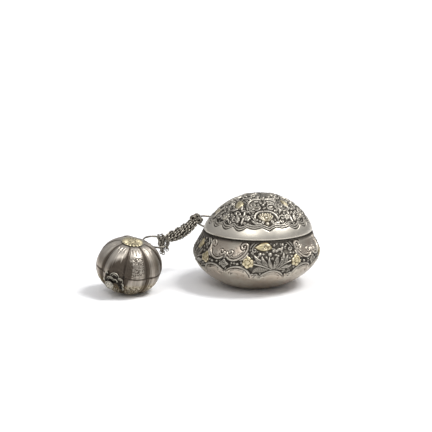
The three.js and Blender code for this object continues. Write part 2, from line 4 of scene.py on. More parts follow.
import bpy
import numpy as np
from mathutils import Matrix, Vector


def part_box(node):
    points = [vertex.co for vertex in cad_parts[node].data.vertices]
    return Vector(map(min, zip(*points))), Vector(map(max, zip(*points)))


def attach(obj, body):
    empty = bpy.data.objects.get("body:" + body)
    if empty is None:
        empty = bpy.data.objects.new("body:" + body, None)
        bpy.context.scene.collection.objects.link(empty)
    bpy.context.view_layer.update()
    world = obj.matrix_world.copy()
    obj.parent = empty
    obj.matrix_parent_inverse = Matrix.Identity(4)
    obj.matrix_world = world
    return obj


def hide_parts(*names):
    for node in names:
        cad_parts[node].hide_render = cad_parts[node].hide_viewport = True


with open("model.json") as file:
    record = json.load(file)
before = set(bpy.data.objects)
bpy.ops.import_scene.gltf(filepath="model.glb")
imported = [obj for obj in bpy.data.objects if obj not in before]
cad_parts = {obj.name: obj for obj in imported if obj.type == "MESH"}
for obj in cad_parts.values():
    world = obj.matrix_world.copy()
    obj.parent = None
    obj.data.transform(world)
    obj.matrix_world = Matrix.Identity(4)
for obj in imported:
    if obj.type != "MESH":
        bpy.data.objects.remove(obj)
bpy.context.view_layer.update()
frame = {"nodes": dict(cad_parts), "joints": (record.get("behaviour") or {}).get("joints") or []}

MM = 0.001
rng = np.random.default_rng(11)

# Driving dimensions, the same as the frame's
FOOT_RADIUS = 15.0
BELLY_RADIUS = 42.7
BELLY_HEIGHT = 23.5
RIM_RADIUS = 37.0
RIM_HEIGHT = 37.2
BOWL_WALL = 1.0
RIM_SEAT_WIDTH = 2.5
HAND_LEAN = 0.06
LID_EDGE_RADIUS = 36.0
LID_BASE = 37.5
LID_HEIGHT = 24.0
LID_WALL = 0.9
LID_FULLNESS = 1.42
MELON_RADIUS = 21.9
MELON_HALF_HEIGHT = 19.1
MELON_WALL = 0.9
LOBE_COUNT = 8
LOBE_TURN = 360 / LOBE_COUNT
GROOVE_DEPTH = 1.5
GROOVE_ANGLE = 263.5
CROWN_DIMPLE = 2.3
SEAT_GAP = 0.3
MELON_PLACE = (-82.3, -23.0)
MELON_LEAN_RIGHT = 9.0
MELON_LEAN_FRONT = 9.5
KNOB_ANGLE = 243.0
KNOB_LATITUDE = -17.5
ROSETTE_RADIUS = 7.8
COLLAR_WALL = 0.6
MELON_COLLAR_RADIUS = MELON_RADIUS - MELON_WALL - GROOVE_DEPTH - SEAT_GAP - 0.25
SNUG = 0.14  # the smooth surfaces lie this far inside the frame's flat facets
BOX_COLUMNS = 640
MELON_COLUMNS = 512
JOINTS = {joint["name"]: np.array(joint["pos_m"]) / MM for joint in frame["joints"]}
AXES = {joint["name"]: np.array(joint["axis"]) for joint in frame["joints"]}


# Drawing in relief
def limit(values):
    return np.clip(values, 0, 1)


def heading(turn):
    """The unit direction of an angle in degrees."""
    return np.array([math.cos(math.radians(turn)), math.sin(math.radians(turn))])


def round_about(columns):
    """Angles of the columns of a turned form, in degrees."""
    return np.arange(columns) * 360 / columns


def curve_through(points, steps=6):
    """A smooth line through the points."""
    points = np.asarray(points, float)
    padded = np.vstack([2 * points[0] - points[1], points, 2 * points[-1] - points[-2]])
    t = np.linspace(0, 1, steps, endpoint=False)[:, None]
    line = [0.5 * (2 * start + (end - before) * t + (2 * before - 5 * start + 4 * end - after) * t ** 2
                   + (3 * start - before - 3 * end + after) * t ** 3)
            for before, start, end, after in zip(padded, padded[1:], padded[2:], padded[3:])]
    return np.vstack([*line, points[-1]])


def ray(middle, turn, shares, side=1):
    """A straight line outwards from a middle."""
    return curve_through([middle + heading(turn) * (side, 1) * share for share in shares], 5)


def volute(middle, radius, start, sweep, inner=0.22, steps=18):
    """A spiral line from its outer end inwards; angles in degrees."""
    turns = np.radians(np.linspace(start, start + sweep, steps))
    reach = radius * np.linspace(1, inner, steps)
    return np.column_stack([middle[0] + reach * np.cos(turns), middle[1] + reach * np.sin(turns)])


def to_line(x, y, line):
    """Each point's distance from a line, its signed side, and how far along it lies, 0 to 1."""
    nearest, side, along = np.full(x.shape, np.inf), np.zeros(x.shape), np.zeros(x.shape)
    steps = np.diff(line, axis=0)
    lengths = np.hypot(steps[:, 0], steps[:, 1]) + 1e-9
    starts = np.concatenate([[0], np.cumsum(lengths)])
    for (ax, ay), (dx, dy), length, start in zip(line, steps, lengths, starts):
        t = limit(((x - ax) * dx + (y - ay) * dy) / length ** 2)
        ox, oy = x - ax - t * dx, y - ay - t * dy
        distance = np.hypot(ox, oy)
        nearer = distance < nearest
        nearest = np.where(nearer, distance, nearest)
        along = np.where(nearer, (start + t * length) / starts[-1], along)
        side = np.where(nearer, (dx * oy - dy * ox) / length, side)
    return nearest, side, along


def blur(field, reach):
    """A soft average over the neighbours; the columns run round."""
    weights = np.exp(-0.5 * (np.arange(-reach, reach + 1) / (reach / 2)) ** 2)
    weights /= weights.sum()
    across = sum(w * np.roll(field, k - reach, axis=1) for k, w in enumerate(weights))
    padded = np.pad(across, ((reach, reach), (0, 0)), mode="edge")
    return sum(w * padded[k:k + len(field)] for k, w in enumerate(weights))


class Relief:
    """Raised and sunk work over a surface of columns (degrees) and rows (millimetres along it)."""

    def __init__(self, angles, arcs, radii, ground):
        self.angles, self.arcs, self.radii, self.ground = angles, arcs, radii, ground
        self.height, self.gilt, self.chased = np.zeros((3, len(arcs), len(angles)))
        self.taken = np.zeros(self.height.shape, bool)

    def lower(self, area):
        """Sinks an area to the ground with a soft edge: area is 0 to 1."""
        self.height = self.height * (1 - area) + self.ground * area
        self.chased = np.maximum(self.chased, area)

    def patina_and_shade(self, reach=6, depth=0.3):
        """How deep each point lies below its surroundings, 0 to 1."""
        near = limit((blur(self.height, reach) - self.height) / depth)
        return limit(near + 0.5 * limit((self.height / self.ground - 0.45) / 0.5))

    def fields(self):
        worn = limit((self.height - blur(self.height, 5)) / 0.3)
        return {"patina_and_shade": self.patina_and_shade(), "worn": worn, "gilt": self.gilt, "chased": self.chased}


class Motif:
    """A place to draw from: x in millimetres to the right of its middle angle, y along the surface."""

    def __init__(self, relief, middle, mirror=1, twist=0.0):
        self.relief = relief
        centre = middle - twist * (relief.arcs[:, None] - TWIST_FROM)
        away = (relief.angles[None, :] - centre + 180) % 360 - 180
        self.x = mirror * np.radians(away) * relief.radii[:, None]
        self.y = np.repeat(relief.arcs[:, None], len(relief.angles), axis=1)

    def at(self, turn, arc):
        """The point some degrees to the right of the middle."""
        return np.array([math.radians(turn) * np.interp(arc, self.relief.arcs, self.relief.radii), arc])

    def path(self, *pairs, side=1):
        return curve_through([self.at(side * turn, arc) for turn, arc in pairs])

    def near(self, line, reach):
        """The mesh points within reach of a line: their places in the grid, and their x and y."""
        low, high = line.min(axis=0) - reach, line.max(axis=0) + reach
        first, last = np.searchsorted(self.relief.arcs, [low[1], high[1]])
        x = self.x[first:last]
        rows, columns = np.nonzero((x > low[0]) & (x < high[0]))
        where = (rows + first, columns)
        return where, self.x[where], self.y[where]

    def shape(self, where, inside, soft, level, gap, gilt, detail=0.0):
        """Raises a form: inside is the distance in from its edge, soft how wide its shoulder is."""
        relief = self.relief
        height = relief.height[where]
        share = limit(inside / soft)
        rounded = np.sqrt(1 - (1 - share) ** 2)
        top = relief.ground + (level - relief.ground) * rounded + detail * share
        height = np.where((inside > -gap) & (inside <= 0), np.minimum(height, relief.ground), height)
        relief.height[where] = np.where(inside > 0, top, height)
        covered = inside > -gap * 0.5
        relief.gilt[where] = np.where(covered, gilt, relief.gilt[where])
        relief.taken[where] |= covered

    def stroke(self, line, width, level=0.0, thin=(0.5, 0.5), gap=0.28, gilt=0.0):
        """A raised line, thinner at its ends."""
        where, x, y = self.near(line, width + gap)
        away, _, along = to_line(x, y, line)
        half = width / 2 * np.minimum(1, np.minimum(thin[0] + 4 * along, thin[1] + 4 * (1 - along)))
        self.shape(where, half - away, width / 2, level, gap, gilt)

    def scroll(self, line, whorl, width, level, gap=0.28, thin=(0.4, 0.7)):
        """A raised line that ends in a volute."""
        self.stroke(np.vstack([line, volute(*whorl)]), width, level, thin, gap)

    def leaf(self, line, width, level=0.0, lobes=0, gilt=0.0, gap=0.28, full=0.75, veins=5, sunk=0.0):
        """A leaf along a line from its root to its tip, with a rib and side veins, sunk inside its edges."""
        where, x, y = self.near(line, width + gap)
        away, side, along = to_line(x, y, line)
        half = width / 2 * np.sin(np.pi * np.clip(along, 0.001, 0.999) ** full) ** 0.75
        if lobes:
            half = half * (0.78 + 0.3 * np.abs(np.sin(lobes * np.pi * along)))
        beyond = (along <= 0) | (along >= 1)
        inside = np.where(beyond, -away - 0.01, half - away)
        rib = (0.9 * sunk if sunk else -0.22) * np.exp(-(side / 0.2) ** 2)
        rib = rib - sunk * limit((inside - 0.3) / 0.25)
        vein = 0.09 * np.cos(2 * np.pi * (veins * along - away / width * 1.6))
        self.shape(where, inside, width * 0.36, level, gap, gilt, rib + vein)

    def flower(self, middle, radius, petals, level, turn=0.0, gilt=1.0, core=0.3, notch=0.34):
        """An open flower with rounded petals and a boss in the middle."""
        where, x, y = self.near(middle[None, :], radius * 1.1)
        dx, dy = x - middle[0], y - middle[1]
        reach, around = np.hypot(dx, dy), np.arctan2(dy, dx) - math.radians(turn)
        wave = np.abs(np.cos(petals * around / 2))
        edge = radius * (1 - notch + notch * wave ** 0.6)
        share = limit(reach / radius)
        valley = -0.3 * (1 - wave ** 0.5) * limit((share - core) / 0.3)
        ridge = 0.12 * np.cos(3 * petals * around) * limit(share - core)
        moat = -0.4 * np.exp(-((share - core * 1.12) / 0.07) ** 2)
        boss = 0.25 * np.sqrt(limit(1 - (share / core) ** 2))
        self.shape(where, edge - reach, radius * 0.34, level, 0.3, gilt, valley + ridge + moat + boss)

    def boss(self, middle, radius, level=0.0, gilt=0.0, gap=0.28):
        where, x, y = self.near(np.array([middle]), radius + gap)
        inside = radius - np.hypot(x - middle[0], y - middle[1])
        self.shape(where, inside, radius, level, gap, gilt)

    def beads(self, rows, side=1):
        """Bosses from rows of turn, arc, radius and level."""
        for turn, arc, radius, level in rows:
            self.boss(self.at(side * turn, arc), radius, level)

    def cut(self, line, width, depth):
        """An engraved line."""
        where, x, y = self.near(line, width * 2)
        away, _, along = to_line(x, y, line)
        ends = limit(6 * np.minimum(along, 1 - along))
        self.relief.height[where] -= depth * np.exp(-(away / (width / 2)) ** 2) * ends


def fill_ground(motif, arcs, sizes, count, level):
    """Small curled leaves and volutes on the ground that is still free."""
    for _ in range(count):
        arc, across, size = rng.uniform(*arcs), rng.uniform(-180, 180), rng.uniform(*sizes)
        facing, bend = rng.uniform(0, 2 * math.pi), rng.choice([-1, 1]) * rng.uniform(0.5, 1.1)
        start = motif.at(across, arc)
        curled = rng.random() < 0.5
        if curled:
            line = volute(start, size * 0.42, math.degrees(facing), math.copysign(330, bend), 0.2, 14)
        else:
            ways = facing + bend * np.arange(3) * 0.6
            steps = size / 3 * np.column_stack([np.cos(ways), np.sin(ways)])
            line = curve_through(np.vstack([start, steps]).cumsum(axis=0), 4)
        if line[:, 1].min() < arcs[0] or line[:, 1].max() > arcs[1]:
            continue
        where, x, y = motif.near(line, size * 0.3)
        close = to_line(x, y, line)[0] < size * 0.16
        if (motif.relief.taken[where] & close).sum() > 0.06 * max(close.sum(), 1):
            continue
        if curled:
            motif.stroke(line, 0.42 + 0.12 * size, level, (0.6, 0.9), gap=0.16)
        else:
            motif.leaf(line, size * 0.42, level, gap=0.16, full=0.6, veins=3, sunk=0.2 * (size > 3))


# Surfaces
def bowl_radius(height):
    below = limit(1 - np.asarray(height, float) / BELLY_HEIGHT)
    low = FOOT_RADIUS + (BELLY_RADIUS - FOOT_RADIUS) * (1 - below ** 1.8) ** 0.715
    t = limit((height - BELLY_HEIGHT) / (RIM_HEIGHT - BELLY_HEIGHT))
    shoulder = BELLY_RADIUS - (BELLY_RADIUS - RIM_RADIUS) * t * t * (3 - 2 * t)
    return np.where(height < BELLY_HEIGHT, low, shoulder)


def lid_point(rise):
    return LID_EDGE_RADIUS * np.cos(rise), LID_BASE + LID_HEIGHT * np.sin(rise) ** (2 / LID_FULLNESS)


def by_arc(radii, heights, shares):
    """The outline at shares of its length: arc, radius, height and direction."""
    arcs = np.concatenate([[0], np.cumsum(np.hypot(np.diff(radii), np.diff(heights)))])
    steps = shares * arcs[-1]
    r, z = np.interp(steps, arcs, radii), np.interp(steps, arcs, heights)
    dr, dz = np.gradient(r, steps), np.gradient(z, steps)
    size = np.hypot(dr, dz)
    return steps, r, z, dr / size, dz / size


def ring_points(radius, height, angles):
    turn = np.radians(angles)
    x = radius * np.cos(turn)
    return np.stack([x, radius * np.sin(turn), np.broadcast_to(height, x.shape)], axis=-1)


def skin(outline, lifts, angles):
    """Rings of points along an outline, each point lifted off it."""
    return [ring_points(r + dz * lift, np.maximum(z - dr * lift, 0), angles)
            for r, z, dr, dz, lift in zip(*outline, lifts)]


def lean(points):
    points[:, 0] += HAND_LEAN * points[:, 2]
    return points


def dress(piece, body, nodes, material):
    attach(piece, body)
    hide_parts(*nodes)
    piece.data.materials.append(material)


def put(name, data):
    """A new object of the scene."""
    thing = bpy.data.objects.new(name, data)
    bpy.context.scene.collection.objects.link(thing)
    return thing


def quads(rings, sides, closed=True):
    """Faces between neighbouring rings of points, the last ring joined to the first if closed."""
    i, k = np.meshgrid(np.arange(rings if closed else rings - 1), np.arange(sides), indexing="ij")
    ahead, beside = (i + 1) % rings, (k + 1) % sides
    return np.stack([i * sides + k, ahead * sides + k, ahead * sides + beside, i * sides + beside], axis=-1)


def mesh_object(name, points, faces, fields=None):
    """A smooth closed mesh whose faces point out; points in millimetres."""
    mesh = bpy.data.meshes.new(name)
    mesh.from_pydata((points * MM).tolist(), [], faces)
    for key, values in (fields or {}).items():
        flat = np.zeros(len(points), np.float32)
        flat[:len(values)] = values
        mesh.attributes.new(key, "FLOAT", "POINT").data.foreach_set("value", flat)
    mesh.polygons.foreach_set("use_smooth", np.ones(len(mesh.polygons), bool))
    mesh.update()
    mesh.calc_loop_triangles()
    corners = np.empty(len(mesh.loop_triangles) * 3, int)
    mesh.loop_triangles.foreach_get("vertices", corners)
    a, b, c = points[corners.reshape(-1, 3)].transpose(1, 0, 2)
    if np.einsum("ij,ij->i", a - points[0], np.cross(b - points[0], c - points[0])).sum() < 0:
        mesh.flip_normals()
    return put(name, mesh)


def turned(name, outer, inner, place, fields):
    """A closed turned form: outer rows from the edge to the pole, inner rows from the pole to the edge."""
    rows = outer + inner
    columns, last = len(outer[0]), len(outer) - 1
    tip = len(rows) * columns
    faces = np.delete(quads(len(rows), columns), last, axis=0).reshape(-1, 4).tolist()
    i = np.arange(columns) + last * columns
    j = (np.arange(columns) + 1) % columns + last * columns
    for near, far, pole in ((j, i, tip), (i + columns, j + columns, tip + 1)):
        faces += np.column_stack([near, far, np.full(columns, pole)]).tolist()
    tips = [outer[-1].mean(axis=0), inner[0].mean(axis=0)]
    inside = np.full(len(inner) * columns, 0.35)
    fields = {key: values.ravel() for key, values in fields.items()}
    fields["patina_and_shade"] = np.concatenate([fields["patina_and_shade"], inside])
    return mesh_object(name, place(np.vstack(rows + [tips])), faces, fields)


# Lid ornament
MOTIF_ANGLE = 280.0
LID_MOTIFS = 3
LID_TWIST = 0.25  # the motifs drift by this many degrees for each millimetre up
TWIST_FROM = 5.8
BRACKET_HALF = 25.6
CUSP_HALF = 9.0
BAND_HEIGHT = 7.4
SCALLOP_DEPTH = 2.4
LID_GROUND = -0.55  # how deep the ground lies between the raised work
RAISED_LINES = (1.15, 2.45)  # how far above the plain band they lie
CLEAR_OF_LINES = 3.2
CROWN_LEAVES = 12


def band_top(angles):
    """Height of the plain band: a bracket with a cusp at each motif, and four scallops between."""
    turn = 360 / LID_MOTIFS
    away = np.abs((angles - MOTIF_ANGLE + turn / 2) % turn - turn / 2)
    cusp = BAND_HEIGHT - 2.2 * limit(1 - away / CUSP_HALF) ** 1.4
    dip = BAND_HEIGHT - 0.9 * np.sin(limit((away - CUSP_HALF) / (BRACKET_HALF - CUSP_HALF)) * np.pi)
    t = np.clip(away - BRACKET_HALF, 0, None) / (turn / 2 - BRACKET_HALF) * 2
    scallop = BAND_HEIGHT - SCALLOP_DEPTH * np.abs(np.sin(t * np.pi))
    return np.where(away < CUSP_HALF, cusp, np.where(away < BRACKET_HALF, dip, scallop))


def lotus(motif, middle, size, gilt):
    """A lotus seen from the side: a fan of pointed petals over a bead."""
    root = middle - np.array([0, 0.62 * size])
    for turn, reach, wide in ((132, 1.18, 0.38), (48, 1.18, 0.38), (117, 1.27, 0.42), (63, 1.27, 0.42),
                              (103, 1.28, 0.44), (77, 1.28, 0.44), (90, 1.2, 0.5)):
        line = ray(root, turn, np.array([0.2, 0.5, 0.85, reach]) * size)
        motif.leaf(line, wide * size, 0.4, gilt=gilt, full=1.5, gap=0.2, veins=2)
    motif.boss(middle - np.array([0, 0.05 * size]), 0.17 * size, 0.5, gilt=gilt)
    motif.boss(middle - np.array([0, 0.76 * size]), 0.2 * size, 0.5, gilt=gilt * 0.6)


def cartouche(motif):
    """The main motif of the lid: a lotus under an arch, two ears with a bead, and an outer scroll."""
    for side in (-1, 1):
        def bent(*pairs):
            return curve_through(np.array(pairs) * (side, 1))
        motif.leaf(bent((3.2, 11.2), (5.6, 11.4), (8.2, 12.4), (10.2, 14.4)), 2.6, 0.15, lobes=3, sunk=0.2)
        motif.leaf(bent((8.6, 9.6), (11.4, 10.2), (13.8, 12.0)), 2.1, 0.05)
        arch = bent((0.0, 21.6), (3.6, 21.0), (6.4, 18.6), (7.7, 15.6), (7.9, 13.2))
        motif.stroke(arch, 1.45, 0.4, (1, 0.5))
        motif.scroll(bent((7.9, 14.0), (9.0, 16.4), (10.9, 17.2)),
                     ((side * 11.2, 15.6), 1.7, 90, -side * 300), 0.95, 0.3)
        outer = bent((0.9, 33.6), (5.2, 33.4), (9.4, 29.6), (11.1, 23.6), (10.0, 19.2))
        motif.stroke(outer, 1.75, 0.6, (0.7, 0.4), gap=0.4)
        inner = bent((0.8, 31.2), (4.6, 30.9), (7.8, 27.8), (8.9, 23.4), (8.0, 20.8))
        motif.stroke(inner, 1.25, 0.4, (0.7, 0.4), gap=0.34)
        motif.leaf(bent((0.6, 29.0), (1.6, 30.4), (1.2, 33.4)), 1.5, 0.25)
    ear = np.array([4.9, 25.2])
    motif.stroke(volute(ear, 3.1, -20, 330, 0.72), 0.95, 0.4, (0.8, 0.8))
    motif.leaf(curve_through([ear - (1.9, 0.3), ear, ear + (1.7, 0.5)]), 2.2, 0.5, veins=0, gilt=0.1)
    motif.stroke(volute((-5.1, 25.2), 3.2, 210, -330, 0.8), 0.85, 0.3, (0.8, 0.8))
    for tooth in range(5):
        foot = np.array([-7.0 + 0.95 * tooth, 24.0 + 0.12 * tooth])
        line = np.array([foot, foot + (0.15, 0.9), foot + (0.1, 1.9)])
        motif.stroke(line, 0.72, 0.5, (0.8, 0.8), gap=0.14, gilt=0.1)
    motif.boss((0.0, 27.6), 1.1, 0.5)
    motif.boss((0.0, 24.2), 0.8, 0.35)
    lotus(motif, np.array([0.0, 16.4]), 6.3, 0.6)


def flank(motif, gilt):
    """Beside a main motif, drawn to its right: a stem with a cross bar, a flower and scrolls."""
    at, path = motif.at, motif.path
    motif.stroke(path((35, 11.4), (36, 15.2), (38.5, 19.6), (39.5, 21.6)), 1.6, 0.45, (1, 0.8))
    motif.stroke(path((31.5, 21.0), (36, 20.4), (41, 21.4), (46, 20.6)), 1.2, 0.35)
    motif.flower(at(31, 15.6), 2.5, 6, 0.3, 12, gilt=gilt)
    motif.stroke(volute(at(29.8, 23.4), 2.7, -120, 400), 1.1, 0.35, (0.5, 0.8))
    motif.leaf(path((27, 26.5), (32, 28.6), (39, 30.2)), 2.8, 0.3, lobes=3, sunk=0.25)
    motif.leaf(path((33, 24.4), (40, 25.4), (45.5, 28.4)), 2.5, 0.3, lobes=3, sunk=0.25)
    motif.leaf(path((42, 11.2), (44, 14.4), (49, 17.8)), 3.4, 0.3, lobes=4, sunk=0.25)
    motif.stroke(volute(at(47.5, 12.6), 2.1, 200, -330), 0.95, 0.25, (0.5, 0.8))
    motif.leaf(path((47, 21.6), (50, 23.4), (52.5, 26.4)), 1.9, 0.25)


def between(motif, root, tip, width):
    """Half way between two main motifs: a gilt bud over a leafy blossom."""
    middle = motif.at(0, 13.6)
    for turn in range(-60, 241, 43):
        motif.leaf(ray(middle, turn, (0.8, 2.2, 3.9)), 2.3, 0.3, gap=0.2, sunk=0.2)
    motif.flower(middle, 1.9, 6, 0.45, gilt=0.2)
    for side in (-1, 1):
        motif.leaf(motif.path((2, 19.6), (9, 21.4), (14, 26.6), side=side), 2.4, 0.3, lobes=3, sunk=0.2)
        motif.stroke(motif.path((1, 32.6), (10, 33.6), (24, 33.4), side=side), 1.2, 0.3)
    root, tip = motif.at(*root), motif.at(*tip)
    line = curve_through([root, (root + tip) / 2 + (0.5, 0), tip])
    motif.leaf(line, width, 0.4, gilt=0.75, full=0.85, veins=3)


def lid_relief(angles, arcs, radii, heights):
    relief = Relief(angles, arcs, radii, LID_GROUND)
    band = band_top(angles)
    above = arcs[:, None] - np.interp(band + LID_BASE, heights, arcs)
    relief.lower(limit(above / 0.3))
    relief.height += 0.4 * limit(-above / 0.25 + 0.6)
    for step in range(LID_MOTIFS):
        middle = MOTIF_ANGLE + step * 360 / LID_MOTIFS
        cartouche(Motif(relief, middle, 1, LID_TWIST))
        for side in (-1, 1):
            flank(Motif(relief, middle, side, side * LID_TWIST), 0.0 if step == 0 else 0.9)
        bud = ((-9.4, 23.3), (-0.3, 30.8), 3.6) if step == 0 else ((12.6, 22.6), (-4.3, 30.2), 5.4)
        between(Motif(relief, middle + 180 / LID_MOTIFS, 1, LID_TWIST), *bud)
    for step in range(CROWN_LEAVES):
        crown = Motif(relief, MOTIF_ANGLE + step * 360 / CROWN_LEAVES)
        crown.leaf(crown.path((0, 37.0), (2, 40.0), (0, 44.6)), 3.4, 0.1, veins=3)
        crown.stroke(crown.path((-13, 36.2), (-6, 34.9), (0, 34.7), (6, 34.9), (13, 36.2)), 0.8, 0.2)
    for ring in RAISED_LINES:
        line = np.abs(above - ring * (1 + 0.25 * (BAND_HEIGHT - band) / SCALLOP_DEPTH))
        raised = relief.ground + (0.3 - relief.ground) * limit(1 - (line / 0.5) ** 2) ** 0.5
        relief.height[(line < 0.75) & (above > 0)] = relief.ground
        wins = (line < 0.5) & (above > 0)
        relief.height[wins] = raised[wins]
        relief.gilt[wins] = 0
        relief.taken |= line < 0.75
    relief.taken |= above < CLEAR_OF_LINES
    free = Motif(relief, MOTIF_ANGLE)
    fill_ground(free, (9.5, 37.0), (3.8, 6.0), 2000, 0.15)
    fill_ground(free, (8.5, 38.0), (2.2, 3.4), 2500, -0.05)
    fill_ground(free, (8.5, 38.0), (1.3, 1.8), 2000, -0.2)
    top = limit((arcs[-1] - arcs[:, None]) / 1.6)
    relief.height = np.where(relief.height > 0, relief.height * limit(top * 6 - 2), relief.height)
    relief.height -= 0.45 * limit(1 - arcs[:, None] / 0.5) ** 2
    return relief


def make_lid():
    angles = round_about(BOX_COLUMNS)
    radii, heights = lid_point(np.linspace(0, np.pi / 2, 2000))
    plain_share, last_share = 0.1, 0.995
    shares = np.concatenate([np.linspace(0, plain_share, 8, endpoint=False),
                             np.linspace(plain_share, last_share, 128)])
    arcs, *outline = by_arc(radii, heights, shares)
    relief = lid_relief(angles, arcs, *outline[:2])
    inner = [ring_points(radius * (1 - LID_WALL / LID_EDGE_RADIUS) - 0.1,
                         LID_BASE + (height - LID_BASE) * (1 - LID_WALL * 1.3 / LID_HEIGHT), angles)
             for radius, height in zip(*lid_point(np.linspace(0.985, 0.0, 9) * np.pi / 2))]
    fields = relief.fields()
    plain = (1 - relief.chased) * limit((arcs - 0.35) / 0.2)[:, None]
    fields["worn"] = np.maximum(0.8 * fields["worn"], 0.66 * plain)
    # Painted shade: the lid's lowest 0.35 mm is painted fully dark. This is the shade line over the gap above
    # the bowl.
    fields["patina_and_shade"] = np.where(arcs[:, None] < 0.35, 1, fields["patina_and_shade"] * relief.chased)
    piece = turned("chased_lid", skin(outline, relief.height, angles), inner, lean, fields)
    dress(piece, "lid", ["lid"], chased_silver)


# Bowl ornament
PLANT_ANGLE = 283.0
BOWL_MOTIFS = 4
BOWL_GROUND = -0.7
FRIEZE_SHARE = 0.56  # the part of the bowl's outline, from the rim down, that has the finer rows
PLAIN_BELOW = 40  # millimetres down the outline
UNDERSIDE_FROM = 50
DIAMOND = np.array([(1, 0), (0.42, 0.42), (0, 1), (-0.42, 0.42), (-1, 0), (-0.42, -0.42), (0, -1),
                    (0.42, -0.42), (1, 0)])


def pendant_arc(turn):
    """How far down the plain pendant reaches, by degrees from its middle."""
    away = np.abs(turn)
    return np.where(away < 21.5, 9.2 + 3.6 * np.sqrt(limit(1 - ((away - 10.5) / 11.0) ** 2)), 0)


def border_arc(turn):
    """Where the plain foot begins, by degrees from a plant's middle."""
    away = np.abs(turn)
    low = 20.3 + 5.2 * (away / 12.0) ** 2
    high = 17.8 + 3.6 * ((away - 33.5) / 11.5) ** 2
    knot = 24.2 - 0.8 * np.sin(limit((away - 12) / 10) * np.pi)
    return np.where(away < 11.2, low, np.where(away < 21.5, knot, high))


def pendant(motif):
    """The double-lobed outline of a plain pendant, with fine engraving on its ground."""
    at, path = motif.at, motif.path
    for side in (-1, 1):
        edge = path((0.4, 9.4), (3.2, 11.9), (8.5, 13.0), (14.2, 11.4), (18.6, 8.4), (20.6, 5.2), side=side)
        whorl = at(side * 17.0, 3.6), 2.5, 90 - side * 90, side * -420
        motif.scroll(edge, whorl, 1.35, 0.35, 0.52, (0.6, 0.7))
        fine = path((4.6, 9.6), (8.5, 11.3), (13.0, 10.2), (16.6, 7.4), side=side)
        motif.stroke(fine, 0.7, 0.2, (0.5, 0.3))
        curl = at(side * 4.7, 7.9), 2.3, 90 + side * 90, -side * 400
        motif.scroll(path((0.5, 11.6), (0.6, 9.4), side=side), curl, 1.1, 0.35, 0.36, (0.8, 0.8))
    for side in (-1, 1):
        for turn, arc, size in ((9, 5.6, 1.5), (12.4, 8.0, 1.1), (9.6, 8.6, 0.8)):
            motif.cut(volute(at(side * turn, arc), size, 90, side * 300), 0.35, 0.16)
        motif.cut(path((2.0, 2.2), (7, 2.8), (12, 2.0), side=side), 0.3, 0.08)


def border(motif):
    """The scroll border below the frieze."""
    at, path = motif.at, motif.path
    low = path((-11.8, 25.4), (-8, 22.4), (-3.6, 20.4), (0, 20.0), (3.6, 20.4), (8, 22.4), (11.8, 25.4))
    motif.stroke(low, 1.3, 0.2, (0.4, 0.4), gap=0.52)
    motif.stroke(path((-7.4, 24.8), (-3.6, 22.9), (0, 22.5), (3.6, 22.9), (7.4, 24.8)), 0.65, 0.1)
    for side in (-1, 1):
        arch = path((43.6, 21.4), (39.5, 18.8), (34.5, 17.4), (29.0, 17.6), (24.0, 19.4), (21.0, 22.6),
                    side=side)
        motif.scroll(arch, (at(side * 19.2, 23.9), 1.8, 90, side * 330), 1.3, 0.2, 0.5)
        motif.stroke(path((26.4, 21.0), (30.0, 19.4), (34.5, 19.2), (38.6, 20.4), side=side), 0.65, 0.1)
        motif.stroke(volute(at(side * 38.6, 22.8), 1.5, 90, -side * 330), 0.8, 0.1)
        motif.stroke(volute(at(side * 15.2, 24.0), 1.5, 200, -side * 330), 0.85, 0.15)
        motif.boss(at(side * 12.4, 26.4), 0.55)
        for turn, arc, size in ((28, 24.5, 1.3), (24, 26.0, 0.9), (33, 23.5, 0.9), (8, 27.2, 0.9),
                                (18, 27.4, 0.8)):
            motif.cut(volute(at(side * turn, arc), size, 60, side * 320), 0.45, 0.2)


def gilt_bud(motif, front):
    """A gilt bud with a pointed end, lying under the rim at the front and upright elsewhere."""
    if front:
        line = motif.path((-17.6, 3.6), (-12, 3.5), (-6, 3.3), (-0.8, 4.4))
        motif.leaf(line, 5.0, 0.1, gilt=1.0, full=1.25, veins=2)
        motif.stroke(volute(motif.at(-6.4, 3.3), 1.3, 0, 330), 0.55, 0.2, gilt=1.0)
        motif.boss(motif.at(-3.2, 4.2), 0.8, 0.15, gilt=1.0)
    else:
        motif.leaf(motif.path((5, 10.4), (6.2, 7.2), (5, 3.2)), 5.6, 0.1, gilt=1.0, full=0.9, lobes=3)


